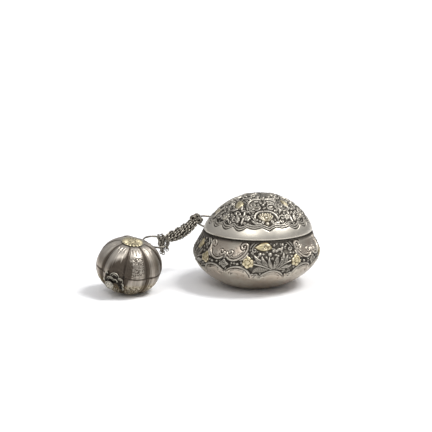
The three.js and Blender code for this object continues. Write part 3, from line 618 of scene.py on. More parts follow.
def plant(motif, front):
    """Lotus stems and blade leaves that rise from the border to the two gilt flowers."""
    at, path = motif.at, motif.path
    for width, level, veins, sunk, *points in (
            (5.4, -0.3, 10, 0.1, (-3.6, 18.6), (-10.0, 18.8), (-15.0, 19.6), (-18.6, 22.0)),
            (3.2, -0.25, 6, 0.1, (3.4, 19.0), (8.5, 18.6), (12.0, 21.0)),
            (3.4, 0.0, 6, 0.35, (-5.0, 17.4), (-10.6, 14.8), (-14.8, 11.6), (-18.2, 8.4)),
            (3.0, 0.0, 3, 0.35, (-2.6, 18.4), (-6.8, 15.4), (-9.4, 12.4), (-10.6, 9.2)),
            (2.4, 0.05, 3, 0.3, (-0.6, 18.6), (-2.8, 15.6), (-3.8, 12.8), (-3.4, 10.2)),
            (3.3, 0.0, 4, 0.35, (1.6, 18.2), (2.2, 15.0), (3.4, 12.2), (4.4, 9.2)),
            (3.3, 0.05, 6, 0.35, (4.4, 18.2), (7.4, 15.0), (9.6, 11.8), (10.6, 7.6)),
            (2.5, 0.0, 5, 0.25, (9.6, 14.4), (12.6, 12.2), (14.4, 9.2)),
            (2.6, 0.05, 5, 0.2, (7.4, 18.0), (11.4, 17.6), (15.2, 17.4), (17.8, 16.0))):
        motif.leaf(path(*points), width, level, veins=veins, sunk=sunk)
    for width, level, end, *points in (
            (0.95, 0.05, 0.8, (1.2, 20.0), (-4, 18.0), (-10, 16.2), (-18.6, 14.6)),
            (0.8, 0.0, 0.4, (1.2, 20.0), (0.6, 16.6), (1.4, 13.2)),
            (0.9, 0.05, 0.8, (2.2, 20.0), (6.4, 17.0), (10.4, 15.2), (16.6, 13.6)),
            (0.7, 0.0, 0.4, (1.4, 20.0), (4.4, 16.4), (7.2, 13.0), (8.0, 10.6))):
        motif.stroke(path(*points), width, level, (1, end))
    ribbon = path((-0.2, 4.8), (3.2, 6.4), (6.2, 5.2), (9.0, 5.6), (10.8, 3.2))
    motif.beads(((-12.4, 8.2, 1.25, 0.1), (-3.0, 8.4, 1.45, 0.1), (4.6, 9.6, 0.8, 0.05)))
    motif.stroke(ribbon, 1.7, 0.0, (0.8, 0.5))
    motif.cut(ribbon, 0.4, 0.25)
    motif.beads(((0.6, 6.2, 1.0, 0.05), (10.8, 2.6, 0.9, 0.05)))
    gilt_bud(motif, front)
    for side in (-1, 1):
        motif.scroll(path((13.6, 0.9), (17.0, 2.0), (19.6, 4.4), side=side),
                     (at(side * 17.8, 5.4), 1.5, 90 - side * 90, side * 360), 0.7, 0.05)
        motif.stroke(path((17.6, 0.8), (20.2, 2.0), (22.2, 4.2), side=side), 0.7, 0.0)
        flower = at(side * 22.2, 14.0)
        for turn, reach in ((20, 4.2), (75, 4.5), (135, 4.0), (200, 3.6), (270, 4.4), (325, 3.8)):
            line = ray(flower, turn, np.array([0.12, 0.55, 1.0]) * reach, side)
            motif.leaf(line, 3.2, 0.1, gilt=1.0, full=1.15, gap=0.2, veins=3, sunk=0.22)
        motif.flower(flower + (side * 0.5, 0), 1.8, 5, 0.15, gilt=1.0, core=0.4, notch=0.45)


def quatrefoil(motif):
    """The silver diamond flower under a pendant, with beads beside it."""
    middle = motif.at(0, 15.8)
    for size, width in ((3.1, 0.95), (1.7, 0.75)):
        motif.stroke(middle + size * DIAMOND * (1, 0.92), width, 0.1, (1, 1), gap=0.2)
    motif.boss(middle, 0.75, 0.15, gap=0.15)
    for side in (-1, 1):
        motif.beads(((7.6, 14.9, 0.7, 0.0), (13.0, 15.4, 0.95, 0.05), (17.4, 17.0, 0.8, 0.0)), side)
        motif.leaf(motif.path((10.0, 17.4), (14.0, 17.2), (16.4, 18.6), side=side), 1.5, -0.1)


def bowl_relief(angles, arcs, radii):
    relief = Relief(angles, arcs, radii, BOWL_GROUND)
    rows, turn = arcs[:, None], 360 / BOWL_MOTIFS
    foot = border_arc((angles - PLANT_ANGLE + turn / 2) % turn - turn / 2)
    top = pendant_arc((angles - PLANT_ANGLE) % turn - turn / 2)
    frieze = limit((rows - top) / 0.3) * limit((foot - rows) / 0.3)
    relief.lower(frieze * limit((rows - 0.5) / 0.3))
    relief.taken |= (frieze < 0.5) | (rows < 0.7)
    middles = PLANT_ANGLE + turn * np.arange(BOWL_MOTIFS)
    for middle in middles:
        plant(Motif(relief, middle), middle == PLANT_ANGLE)
        quatrefoil(Motif(relief, middle + turn / 2))
    for middle in middles:
        pendant(Motif(relief, middle + turn / 2))
        border(Motif(relief, middle))
    fill_ground(Motif(relief, PLANT_ANGLE), (1.2, 24.5), (1.3, 2.4), 2500, -0.25)
    relief.height = np.minimum(relief.height, np.clip(0.9 * (BELLY_RADIUS - radii), 0.0, 0.35)[:, None])
    relief.height -= 1.0 * limit(1 - rows / 1.3) ** 2
    relief.height[arcs > PLAIN_BELOW] = 0
    return relief


def make_bowl():
    angles = round_about(BOX_COLUMNS)
    heights = np.linspace(RIM_HEIGHT, 0, 3000)
    shares = np.concatenate([np.linspace(0, FRIEZE_SHARE, 106, endpoint=False),
                             np.linspace(FRIEZE_SHARE, 1, 24)])
    arcs, *outline = by_arc(bowl_radius(heights), heights, shares)
    relief = bowl_relief(angles, arcs, outline[0])
    outer = skin(outline, SNUG * (arcs < UNDERSIDE_FROM)[:, None] - relief.height, angles)
    seat_under = RIM_HEIGHT - BOWL_WALL
    rim_inside = RIM_RADIUS - RIM_SEAT_WIDTH
    profile = [(1.0, BOWL_WALL), (FOOT_RADIUS, BOWL_WALL)]
    profile += [(float(bowl_radius(height)) - 1.9, height + 0.5) for height in (3, 6, 10, 15, 20, 25, 30, 34)]
    profile += [(float(bowl_radius(seat_under)) - 1.7, seat_under), (rim_inside, seat_under),
                (rim_inside, RIM_HEIGHT), (RIM_RADIUS - 1.3, RIM_HEIGHT)]
    inner = [ring_points(radius, height, angles) for radius, height in profile]
    fields = relief.fields()
    fields["warm"] = 1 - 0.85 * relief.chased
    fields["worn"] *= 0.55
    fields["chased"] = 1.12 * fields["chased"]
    # Painted shadow: the top of the bowl under the lid's rim is painted dark, fading out 1.9 mm down.
    fields["patina_and_shade"] = np.maximum(fields["patina_and_shade"], 1.25 * limit(1 - arcs / 1.9)[:, None] ** 0.6)
    piece = turned("chased_bowl", outer, inner, lean, fields)
    dress(piece, "bowl", ["bowl"], chased_silver)


# Materials
class Shader:
    """A node material with short calls for the few node kinds it needs."""

    def __init__(self, name):
        self.material = bpy.data.materials.new(name)
        self.material.use_nodes = True
        self.tree = self.material.node_tree
        self.surface = self.tree.nodes["Principled BSDF"].inputs
        self.place = self.tree.nodes.new("ShaderNodeTexCoord").outputs["Object"]

    def node(self, kind, **inputs):
        node = self.tree.nodes.new(kind)
        for key, value in inputs.items():
            self.feed(node.inputs[key.replace("_", " ")], value)
        return node

    def feed(self, socket, value):
        if isinstance(value, bpy.types.NodeSocket):
            self.tree.links.new(value, socket)
        else:
            socket.default_value = (*value, 1.0) if isinstance(value, tuple) else value

    def field(self, name, amount=1.0):
        """A value of the mesh's own, times an amount."""
        node = self.tree.nodes.new("ShaderNodeAttribute")
        node.attribute_name = name
        return node.outputs["Fac"] if amount == 1.0 else self.maths("MULTIPLY", node.outputs["Fac"], amount)

    def noise(self, scale, detail=4.0, roughness=0.6):
        inputs = {"Vector": self.place, "Scale": scale, "Detail": detail, "Roughness": roughness}
        return self.node("ShaderNodeTexNoise", **inputs).outputs["Fac"]

    def span(self, value, low, high, to_low=0.0, to_high=1.0):
        return self.node("ShaderNodeMapRange", Value=value, From_Min=low, From_Max=high, To_Min=to_low,
                         To_Max=to_high).outputs["Result"]

    def maths(self, operation, first, second):
        node = self.tree.nodes.new("ShaderNodeMath")
        node.operation = operation
        node.use_clamp = operation == "ADD"
        self.feed(node.inputs[0], first)
        self.feed(node.inputs[1], second)
        return node.outputs[0]

    def blend(self, share, first, second):
        node = self.tree.nodes.new("ShaderNodeMix")
        node.data_type = "RGBA"
        for place, value in ((0, share), (6, first), (7, second)):
            self.feed(node.inputs[place], value)
        return node.outputs[2]


SILVER = (0.50, 0.475, 0.405)
BRIGHT = (0.78, 0.725, 0.63)
TARNISH = (0.145, 0.132, 0.110)
# The three dark colours below paint the patina in hollows and also painted shade.
PATINA_AND_SHADE = (0.024, 0.020, 0.016)
BROWN_PATINA_AND_SHADE = (0.050, 0.036, 0.025)
ROSE = (0.40, 0.335, 0.27)
GILT = (0.57, 0.485, 0.275)
GILT_PATINA_AND_SHADE = (0.10, 0.062, 0.020)


def silver(name, clean, rough, patina_and_shade_strength=0.9, warm=0.0, patina_and_shade_colour=PATINA_AND_SHADE):
    """Worn silver whose patina in hollows and painted shade, wear, gilding and warmth come from the mesh,
    with stains from noise.
    """
    shader = Shader(name)
    fine = shader.noise(420.0, 5.0, 0.7)
    layers = [(shader.span(shader.noise(55.0, 3.0), 0.36, 0.7), tuple(0.72 * part for part in clean)),
              (shader.span(fine, 0.48, 0.8, 0.0, 0.35), ROSE)]
    if warm:
        layers.append((shader.span(shader.noise(38.0, 4.0, 0.65), 0.4, 0.62, 0.0, warm), ROSE))
    mottle = shader.span(shader.noise(110.0, 5.0, 0.7), 0.38, 0.6, 0.35, 0.95)
    layers += [(shader.field(key, amount), tint) for key, amount, tint in (
        ("warm", mottle, ROSE), ("chased", 0.72, TARNISH), ("gilt", 0.92, GILT), ("worn", 0.8, BRIGHT))]
    # The mesh's darkening field holds real patina in hollows and also painted shade: at the gaps, under parts
    # and on the lime box's lower half. It mixes in the dark colour.
    stains_patina_and_shade = shader.maths("ADD", shader.field("patina_and_shade"), shader.span(fine, 0.58, 0.85, 0.0, 0.25))
    patina_and_shade_tint = shader.blend(shader.field("gilt"), patina_and_shade_colour, GILT_PATINA_AND_SHADE)
    colour = clean
    for share, tint in [*layers, (shader.maths("MULTIPLY", stains_patina_and_shade, patina_and_shade_strength), patina_and_shade_tint)]:
        colour = shader.blend(share, colour, tint)
    rough_field = shader.span(fine, 0.3, 0.8, rough - 0.06, rough + 0.12)
    rough_field = shader.maths("ADD", rough_field, shader.field("patina_and_shade", 0.25))
    bump = shader.node("ShaderNodeBump", Height=shader.noise(1400.0), Strength=0.25, Distance=0.00012)
    for key, value in (("Base Color", colour), ("Roughness", rough_field), ("Metallic", 1.0),
                       ("Normal", bump.outputs["Normal"])):
        shader.feed(shader.surface[key], value)
    return shader.material


chased_silver = silver("chased_silver", SILVER, 0.36)
warm_silver = silver("warm_silver", (0.56, 0.52, 0.455), 0.34, warm=0.6, patina_and_shade_colour=BROWN_PATINA_AND_SHADE)
gilt_silver = silver("gilt_silver", SILVER, 0.4, 0.55)
plain_silver = silver("plain_silver", SILVER, 0.3)
knob_silver = silver("knob_silver", (0.55, 0.52, 0.445), 0.34)
wire_silver = silver("wire_silver", (0.27, 0.25, 0.21), 0.3)
leaf_silver = silver("leaf_silver", (0.52, 0.49, 0.41), 0.3, 1.0)
chain_silver = silver("chain_silver", (0.50, 0.46, 0.39), 0.3, 1.0)


# Lime box
MELON_GROUND = -0.4
PANEL_LOBES = (0, 3, 5)
LINED_LOBES = (1, 2, 5)


def groove_wave(angle):
    """0 in a groove and 1 in the middle of a lobe; the angle in radians."""
    return np.abs(np.sin((angle - math.radians(GROOVE_ANGLE)) * LOBE_COUNT / 2))


def melon_point(latitude, angle, distance):
    """Radius and height of the lime box's surface at a distance outside it; angles in radians."""
    level = np.cos(latitude)
    groove = GROOVE_DEPTH * (1 - groove_wave(angle) ** 0.55) * level ** 0.6
    dimple = CROWN_DIMPLE * np.exp(-((level / 0.42) ** 2)) * np.sign(latitude)
    radius = (MELON_RADIUS + distance) * level - groove
    return np.maximum(radius, 0), (MELON_HALF_HEIGHT + distance) * np.sin(latitude) - dimple


def melon_pose():
    """Its turn and middle: it leans to the right and to the front, and stands on its lowest point."""
    axis = Vector((math.sin(math.radians(MELON_LEAN_RIGHT)), -math.sin(math.radians(MELON_LEAN_FRONT)), 0))
    axis.z = math.sqrt(1 - axis.x ** 2 - axis.y ** 2)
    turn = np.array(Vector((0, 0, 1)).rotation_difference(axis).to_matrix())
    angles = np.arange(0, 360, 7.5)
    radius, height = melon_point(np.radians(-np.arange(0, 91, 1.0))[:, None], np.radians(angles), 0)
    lowest = (ring_points(radius, height, angles) @ turn[2]).min()
    return turn, np.array([*MELON_PLACE, -lowest])


MELON_TURN, MELON_MIDDLE = melon_pose()


def place_melon(points):
    return points @ MELON_TURN.T + MELON_MIDDLE


def melon_spot(latitude, angle, lift=0.0):
    """A point over the lime box's surface; angles in radians."""
    radius, height = melon_point(latitude, angle, SEAT_GAP + lift)
    return np.array([radius * math.cos(angle), radius * math.sin(angle), height])


def knob_seat():
    """Where the knob stands: the point, level to the right, upward along the surface, and out."""
    latitude, angle = math.radians(KNOB_LATITUDE), math.radians(KNOB_ANGLE)
    level = np.array([-math.sin(angle), math.cos(angle), 0])
    out = np.array([math.cos(latitude) * math.cos(angle), math.cos(latitude) * math.sin(angle),
                    math.sin(latitude)])
    return melon_spot(latitude, angle), level, np.cross(out, level), out


def melon_relief(angles, arcs, side):
    """Chasing on one half: lines beside the grooves, a flower panel, pleats and wrinkles."""
    latitude = arcs / MELON_RADIUS
    relief = Relief(angles, arcs, np.maximum(MELON_RADIUS * np.cos(latitude), 0.5), MELON_GROUND)
    reach = math.radians(80) * MELON_RADIUS
    for lobe in range(LOBE_COUNT):
        motif = Motif(relief, GROOVE_ANGLE + lobe * LOBE_TURN)
        for edge in (-5.2, 5.2, -8.0, 8.0) if lobe in LINED_LOBES else (-5.2, 5.2):
            motif.cut(motif.path((edge, 0.0), (edge, reach * 0.4), (edge * 1.1, reach * 0.75)), 0.5, 0.16)
        relief.height -= 0.35 * np.exp(-(motif.x / 0.5) ** 2) * limit(1.15 - latitude[:, None])
        middle = Motif(relief, GROOVE_ANGLE + (lobe + 0.5) * LOBE_TURN)
        if side < 0:
            wrinkles(middle)
            continue
        for turn, top, low in ((-9, 23.5, 18.5), (0, 23.8, 17.0), (9, 23.5, 19.0)):
            middle.cut(middle.path((turn * 1.4, top), (turn * 1.1, (top + low) / 2), (turn, low)), 0.6, 0.3)
        if lobe in PANEL_LOBES:
            flower_panel(middle)
    return relief


def flower_panel(motif):
    """Shallow chased flowers and curls in a frame on one lobe."""
    at, path = motif.at, motif.path
    motif.cut(path((-15.5, 2.4), (-8, 1.6), (0, 1.3), (8, 1.6), (15.5, 2.4)), 0.45, 0.16)
    for side in (-1, 1):
        motif.cut(path((15.5, 2.4), (15.5, 8), (14, 14), side=side), 0.45, 0.14)
    for turn, arc, size, petals in ((3, 5.4, 2.2, 5), (-8, 9.6, 1.7, 6), (9, 11.2, 1.6, 5),
                                    (-1, 13.6, 1.5, 6)):
        middle = at(turn, arc)
        for petal in range(petals):
            around = 360 * petal / petals
            root = middle + heading(around) * size * 0.6
            motif.cut(volute(root, size * 0.42, around + 120, 240, 0.8, 8), 0.45, 0.24)
        motif.cut(volute(middle, size * 0.28, 0, 330, 0.9, 8), 0.4, 0.2)
    for turn in range(-12, 13, 6):
        for arc in (3.6, 6.4, 9.2, 12.0, 14.8):
            middle = at(turn + rng.uniform(-1.5, 1.5), arc + rng.uniform(-0.6, 0.6))
            motif.cut(volute(middle, rng.uniform(1.0, 1.6), rng.uniform(0, 360), 300), 0.5, 0.3)


def wrinkles(motif):
    """Leafy wrinkles towards the foot of a lobe."""
    for step in range(9):
        turn, start = -16 + 4 * step, 8.6 + 1.6 * math.sin(step * 2.1)
        line = motif.path((turn, start), (turn * 0.9 + 1.6, start + 3), (turn * 0.7, start + 8.0))
        motif.cut(line, 0.7, 0.4)
    for step in range(10):
        turn, arc = -12 + 6 * (step % 5), 7.0 + 3.4 * (step // 5) + step % 2
        motif.cut(volute(motif.at(turn, arc), 1.5, 30, 280), 0.55, 0.32)


def make_melon_half(half, side):
    angles = round_about(MELON_COLUMNS)
    turn = np.radians(angles)
    latitudes = np.linspace(0, 0.985, 84) * np.pi / 2
    arcs = latitudes * MELON_RADIUS
    rows = arcs[:, None]
    relief = melon_relief(angles, arcs, side)

    def row(latitude, distance):
        radius, height = melon_point(side * max(latitude, 1e-4), turn, distance)
        return ring_points(radius, side * SEAT_GAP / 2 if latitude == 0 else height, angles)

    knob = Motif(relief, KNOB_ANGLE)
    above_seam = side * knob.y
    recess = limit((1.05 - np.hypot((knob.x - 2.4) / 7.6, (above_seam + 3.2) / 8.0)) / 0.1)
    relief.height = np.maximum(relief.height, -0.45) - 0.4 * recess
    if side > 0:
        hump = Motif(relief, 118.0)
        relief.height += 0.9 * np.exp(-(np.hypot(hump.x, (hump.y - 24.0) * 0.9) / 4.2) ** 2)
    outer = [row(latitude, lift - SNUG - 0.06) for latitude, lift in zip(latitudes, relief.height)]
    inner = [row(latitude, -MELON_WALL) for latitude in np.linspace(0.96, 0, 10) * np.pi / 2]
    wave = groove_wave(turn)
    in_groove = 1.3 * limit(1 - wave / 0.34) * np.cos(latitudes)[:, None] ** 0.5
    near_groove = limit(1 - wave / 0.72) ** 1.2
    streaks = blur(rng.normal(size=(1, MELON_COLUMNS)), 6) + blur(rng.normal(size=(1, MELON_COLUMNS)), 2)
    streaks = limit(0.5 + 0.9 * streaks + 0.3 * np.sin(rows / 5.0))
    from_shade = np.hypot((knob.x - 5.0) / 8.4, (above_seam - 3.0) / 11.0)
    shade = limit((1.15 - from_shade) / 0.5) * (0.85 + 0.3 * streaks)
    panel = np.exp(-((Motif(relief, GROOVE_ANGLE + LOBE_TURN / 2).x / 6.0) ** 6))
    panel *= (above_seam > 1.0) * (above_seam < 17)
    leafy = (side < 0) * limit((rows - 4.5) / 3) * (1 - limit(shade))
    fields = relief.fields()
    # The 0.15 term paints the whole lower half a little darker, as painted shade.
    shades = in_groove + near_groove * (0.3 + 0.7 * streaks) + 1.15 * shade + 0.15 * (side < 0)
    # Painted shade: the recess round the knob, under the leaf spray, is painted dark (1.2 times recess). So
    # is a band 1 mm wide each side of the seam between the halves (the last term).
    fields["patina_and_shade"] = limit(relief.patina_and_shade(4, 0.2) * 0.8 + shades + 1.2 * recess + 0.28 * panel
                             + 0.28 * streaks + 1.1 * limit(1 - rows / 1.0))
    fields["gilt"] = 0.5 * leafy * (0.6 + 0.4 * streaks)
    fields["warm"] = np.repeat(0.5 * (0.35 + 0.65 * limit(1.1 - rows / 14)), MELON_COLUMNS, axis=1)
    piece = turned(f"ribbed_lime_box_{half}", outer, inner, place_melon, fields)
    dress(piece, f"lime_{half}", [f"lime_box_{half}"], warm_silver)


def make_rosette():
    """The gilt flower on the crown: a rim of petals and a centre in a moat."""
    angles = round_about(384)
    turn = np.radians(angles)
    edge = ROSETTE_RADIUS - 0.45 * (1 - np.abs(np.sin(turn * 8)))
    forward = 1.1  # the flower's middle lies this far towards the front of the disc
    lobe = math.radians(GROOVE_ANGLE + LOBE_TURN / 2)

    def row(share, height):
        latitude = np.arccos(limit(share * edge / MELON_RADIUS))
        return ring_points(share * edge, melon_point(latitude, lobe, SEAT_GAP)[1] + height, angles)

    def petals(share):
        """Relief and gilding of the flower at a share of the disc's radius."""
        x, y = share * edge * np.cos(turn), share * edge * np.sin(turn) + forward
        reach = np.hypot(x, y) / (ROSETTE_RADIUS - forward)
        scallop = np.abs(np.sin(np.arctan2(y, x) * 8))
        petal = -0.5 * (1 - scallop ** 0.5) * limit((reach - 0.34) / 0.1)
        ridge = 0.25 * np.cos(np.clip((reach - 0.72) / 0.22, -1, 1) * np.pi / 2) * scallop
        heart = 0.4 * np.sqrt(limit(1 - (reach / 0.24) ** 2))
        moat = 0.4 * np.exp(-((reach - 0.3) / 0.04) ** 2)
        flower = limit((1.03 - reach) / 0.05)
        return (petal + ridge + heart - moat) * flower - 0.3 * np.exp(-((reach - 1.08) / 0.06) ** 2), flower

    top, drawn, gilded = [], [], []
    for share in np.linspace(1, 0.02, 48):
        shape, flower = petals(share)
        body = 0.6 * (1 - 0.55 * share) * min(1, (1 - share) * 12 + 0.25)
        top.append(row(share, body + np.clip(shape, -0.5, 0.45) * (share < 0.995)))
        drawn.append(limit(0.15 - 2.2 * shape))
        gilded.append(0.6 * flower)
    under = [row(share, 0.0) for share in (0.04, 0.3, 0.6, 0.98)]
    fields = {"patina_and_shade": np.array(drawn), "gilt": np.array(gilded)}
    piece = turned("gilt_rosette", top, under, place_melon, fields)
    dress(piece, "lime_upper", ["lime_box_rosette"], gilt_silver)


def make_knob():
    """The thumb knob: a disc on a stem, with a flower of three petals on its face."""
    disc_radius = 3.08
    turn = np.radians(round_about(144))
    spot, level, rise, out = knob_seat()

    def row(radius, height):
        around = level * (radius * np.cos(turn))[:, None] + rise * (radius * np.sin(turn))[:, None]
        return spot + around + out * (height * np.ones(len(turn)))[:, None]

    rows, drawn = [], []
    for radius, height in ((1.7, -0.6), (1.3, 0.7), (1.5, 1.4), (2.8, 1.45), (3.03, 1.7), (disc_radius, 1.9),
                           (2.98, 2.15)):
        rows.append(row(radius, height))
        # The stem and the disc's underside are painted dark (0.8): painted shade under the disc.
        drawn.append(np.full(len(turn), 0.8 if height < 1.5 else 0.1))
    lobes = np.abs(np.cos(1.5 * (turn - math.radians(90))))
    for share in np.linspace(0.88, 0.03, 26):
        inside = limit((0.84 * (0.45 + 0.55 * lobes ** 0.7) - share) / 0.14)
        rib = 0.16 * np.exp(-((1 - lobes) / 0.05) ** 2) * (share < 0.8)
        bead = 0.3 * math.sqrt(max(1 - (share / 0.26) ** 2, 0))
        moat = 0.22 * math.exp(-((share - 0.3) / 0.05) ** 2)
        rows.append(row(disc_radius * share, 1.9 + 0.25 * inside - rib + bead - moat))
        drawn.append(limit(0.8 * (1 - inside) + 3 * rib + 2 * moat))
    under = [row(radius, -0.7) for radius in (0.1, 1.6)]
    piece = turned("flower_knob", rows, under, place_melon, {"patina_and_shade": 0.8 * np.array(drawn)})
    dress(piece, "lime_lower", ["lime_box_knob"], knob_silver)


def full_turn(count):
    return np.linspace(0, 2 * np.pi, count, endpoint=False)


def unit(vectors):
    return vectors / np.linalg.norm(vectors, axis=-1, keepdims=True)


class Rods:
    """Round and flattened rods, open or closed, gathered in one mesh."""

    def __init__(self):
        self.points, self.faces, self.shades, self.count = [], [], [], 0

    def add(self, path, wide, normal, thick=None, closed=False, sides=8, shade=0.0):
        """A rod along a path; wide and thick are half its width and thickness, and shade its darkness."""
        path = np.asarray(path, float)
        count = len(path)
        self.shades.append(np.repeat(np.broadcast_to(shade, count), sides))
        way = unit(np.roll(path, -1, 0) - np.roll(path, 1, 0) if closed else np.gradient(path, axis=0))
        side = unit(np.cross(way, normal))
        up = np.cross(side, way)
        turn = full_turn(sides)[None, :, None]
        halves = wide, wide if thick is None else thick
        wide, thick = (np.broadcast_to(half, count)[:, None, None] for half in halves)
        self.points.append((path[:, None] + side[:, None] * np.cos(turn) * wide
                            + up[:, None] * np.sin(turn) * thick).reshape(-1, 3))
        self.faces += (quads(count, sides, closed) + self.count).reshape(-1, 4).tolist()
        if not closed:
            ends = np.arange(self.count, self.count + count * sides).reshape(count, sides)
            self.faces += [ends[0].tolist(), ends[-1, ::-1].tolist()]
        self.count += count * sides

    def link(self, centre, way, side, half_length, half_width, wire):
        """An oval wire link drawn out along its way."""
        turn = full_turn(16)
        stretch = (half_length - half_width) * np.sign(np.cos(turn)) * np.minimum(1, 3 * np.abs(np.cos(turn)))
        along = half_width * np.cos(turn) + stretch
        self.add(centre + np.outer(along, way) + np.outer(half_width * np.sin(turn), side), wire,
                 np.cross(way, side), closed=True, shade=0.75 - 0.75 * np.abs(np.sin(turn)) ** 3)

    def finish(self, name, place=np.array):
        fields = {"patina_and_shade": np.concatenate(self.shades)}
        return mesh_object(name, place(np.vstack(self.points)), self.faces, fields)


# Across and up from the knob in millimetres, size, and heading in degrees
SPRAY_LEAVES = ((2.4, 5.6, 2.9, 78), (-0.2, 2.7, 2.6, 95), (5.9, 3.2, 2.2, 50), (7.0, 0.2, 1.6, 10),
                (7.0, -2.8, 1.4, -20), (3.2, 2.8, 1.4, 55), (-3.6, 6.0, 1.3, 120), (-4.8, 1.0, 1.4, 170))


def make_spray():
    """Leaves like scales round the knob: bright curled edges over dark blades that are painted shade in their
    hollows.
    """
    rods = Rods()
    out = knob_seat()[3]

    def on_melon(spot, lift):
        latitude = math.radians(KNOB_LATITUDE) + spot[1] / MELON_HALF_HEIGHT
        angle = math.radians(KNOB_ANGLE) + spot[0] / (MELON_RADIUS * math.cos(latitude))
        return melon_spot(latitude, angle, lift)

    taper = np.sin(np.pi * np.linspace(0.1, 0.9, 15)) ** 0.8
    for x, y, size, turn in SPRAY_LEAVES:
        way, middle = heading(turn), np.array([x, y])
        across = np.array([-way[1], way[0]])
        for share, lift, thick in ((1.0, 0.02, 0.34), (0.6, -0.1, 0.28)):
            reach = size * share
            edge = [on_melon(middle + reach * (way * math.cos(bend) * 0.9 + across * math.sin(bend)), lift)
                    for bend in np.radians(np.linspace(-105, 105, 15))]
            # The ends of each curled edge are painted darker: painted shade where they meet the lime box.
            rods.add(edge, thick * taper, out, thick * 0.8 * taper, shade=1.25 - 1.25 * taper)
        # The blade is a dark sheet under the curled edges: painted shade in the leaf's hollow.
        blade = [on_melon(middle + way * size * step, -0.3) for step in np.linspace(-1.2, 0.85, 8)]
        wide = size * np.sin(np.pi * np.linspace(0.2, 0.86, 8)) ** 0.7 * 0.92
        rods.add(blade, wide, out, 0.2, sides=12, shade=1.0)
    spray = rods.finish("leaf_spray", place_melon)
    dress(spray, "lime_lower", ["lime_box_leaf_spray"], leaf_silver)


# Chain
THICK_LINK = (1.5, 1.3, 0.4, 1.1)  # half length, half width, wire radius and radius of the dark core rod, painted shade inside the strand
THIN_LINK = (1.2, 0.95, 0.34, 0.5)
CHAIN_SAG = 0.8
CHAIN_STEPS = 80
CHAIN_TWIST = 420  # degrees over its whole length
CHAIN_SHADE_CORE = 1.9
BUNDLE_RADIUS = 2.5
RING_RADIUS = 8.72
RING_WIRE = 0.66
# From the lime end of the chain: its top, how far it drops, comes forward and goes to the right
FRINGE = ((-5.6, 1.6, 2.0, 6.5, 0.6, 0.9), (-3.9, 1.2, 2.2, 9.0, 1.6, -0.6),
          (-2.3, 0.6, 1.8, 11.6, 2.2, -2.4), (-0.9, -0.2, 1.2, 11.4, 2.6, -2.4),
          (0.8, -0.8, 0.6, 8.2, 2.4, -0.6), (-3.0, 2.0, 2.6, 5.0, 0.2, 0.9))


def strand(rods, line, link, pitch, turn):
    """Links along a line, each turned a quarter against the one before, round a dark core rod that is painted
    shade inside the strand.
    """
    places = np.concatenate([[0], np.cumsum(np.linalg.norm(np.diff(line, axis=0), axis=1))])
    count = max(2, round(places[-1] / pitch))

    def spot(place):
        return np.array([np.interp(place, places, across) for across in line.T])

    for k, place in enumerate((np.arange(count) + 0.5) * places[-1] / count):
        way = unit(spot(place + 0.3) - spot(place - 0.3))
        level = unit(np.cross(way, [0, 0, 1]))
        roll = math.radians(turn + 90 * (k % 2) + 17 * k)
        side = level * math.cos(roll) + np.cross(way, level) * math.sin(roll)
        rods.link(spot(place), way, side, *link[:3])
    # The core is a fully dark rod: painted shade inside the strand.
    core = line[1:-1]
    swell = np.minimum(1, 0.4 + 4 * np.sin(np.pi * np.linspace(0, 1, len(core))))
    rods.add(core, link[3] * swell, [0.1, 0.2, 1.0], sides=10, shade=1.0)


def coil(rods, centre, sense):
    """A wire rolled into an upright spiral that holds the strands on a ring."""
    way, side, across = np.array([1.0, 0, 0]), np.array([0, 0, 1.0]), np.array([0, -1.0, 0])
    turn, reach = np.linspace(0, 4.2 * np.pi, 60), np.linspace(2.5, 0.7, 60)
    path = centre + np.outer(reach * np.cos(turn) * sense, way) + np.outer(reach * np.sin(turn), side)
    rods.add(path + np.outer(np.linspace(0, 0.7, 60), across), 0.42, across, shade=0.25)
    # A dark disc inside the spiral: painted shade in its middle.
    rods.add([centre - across * 0.2, centre + across * 0.3], 2.3, way, sides=16, shade=1.0)


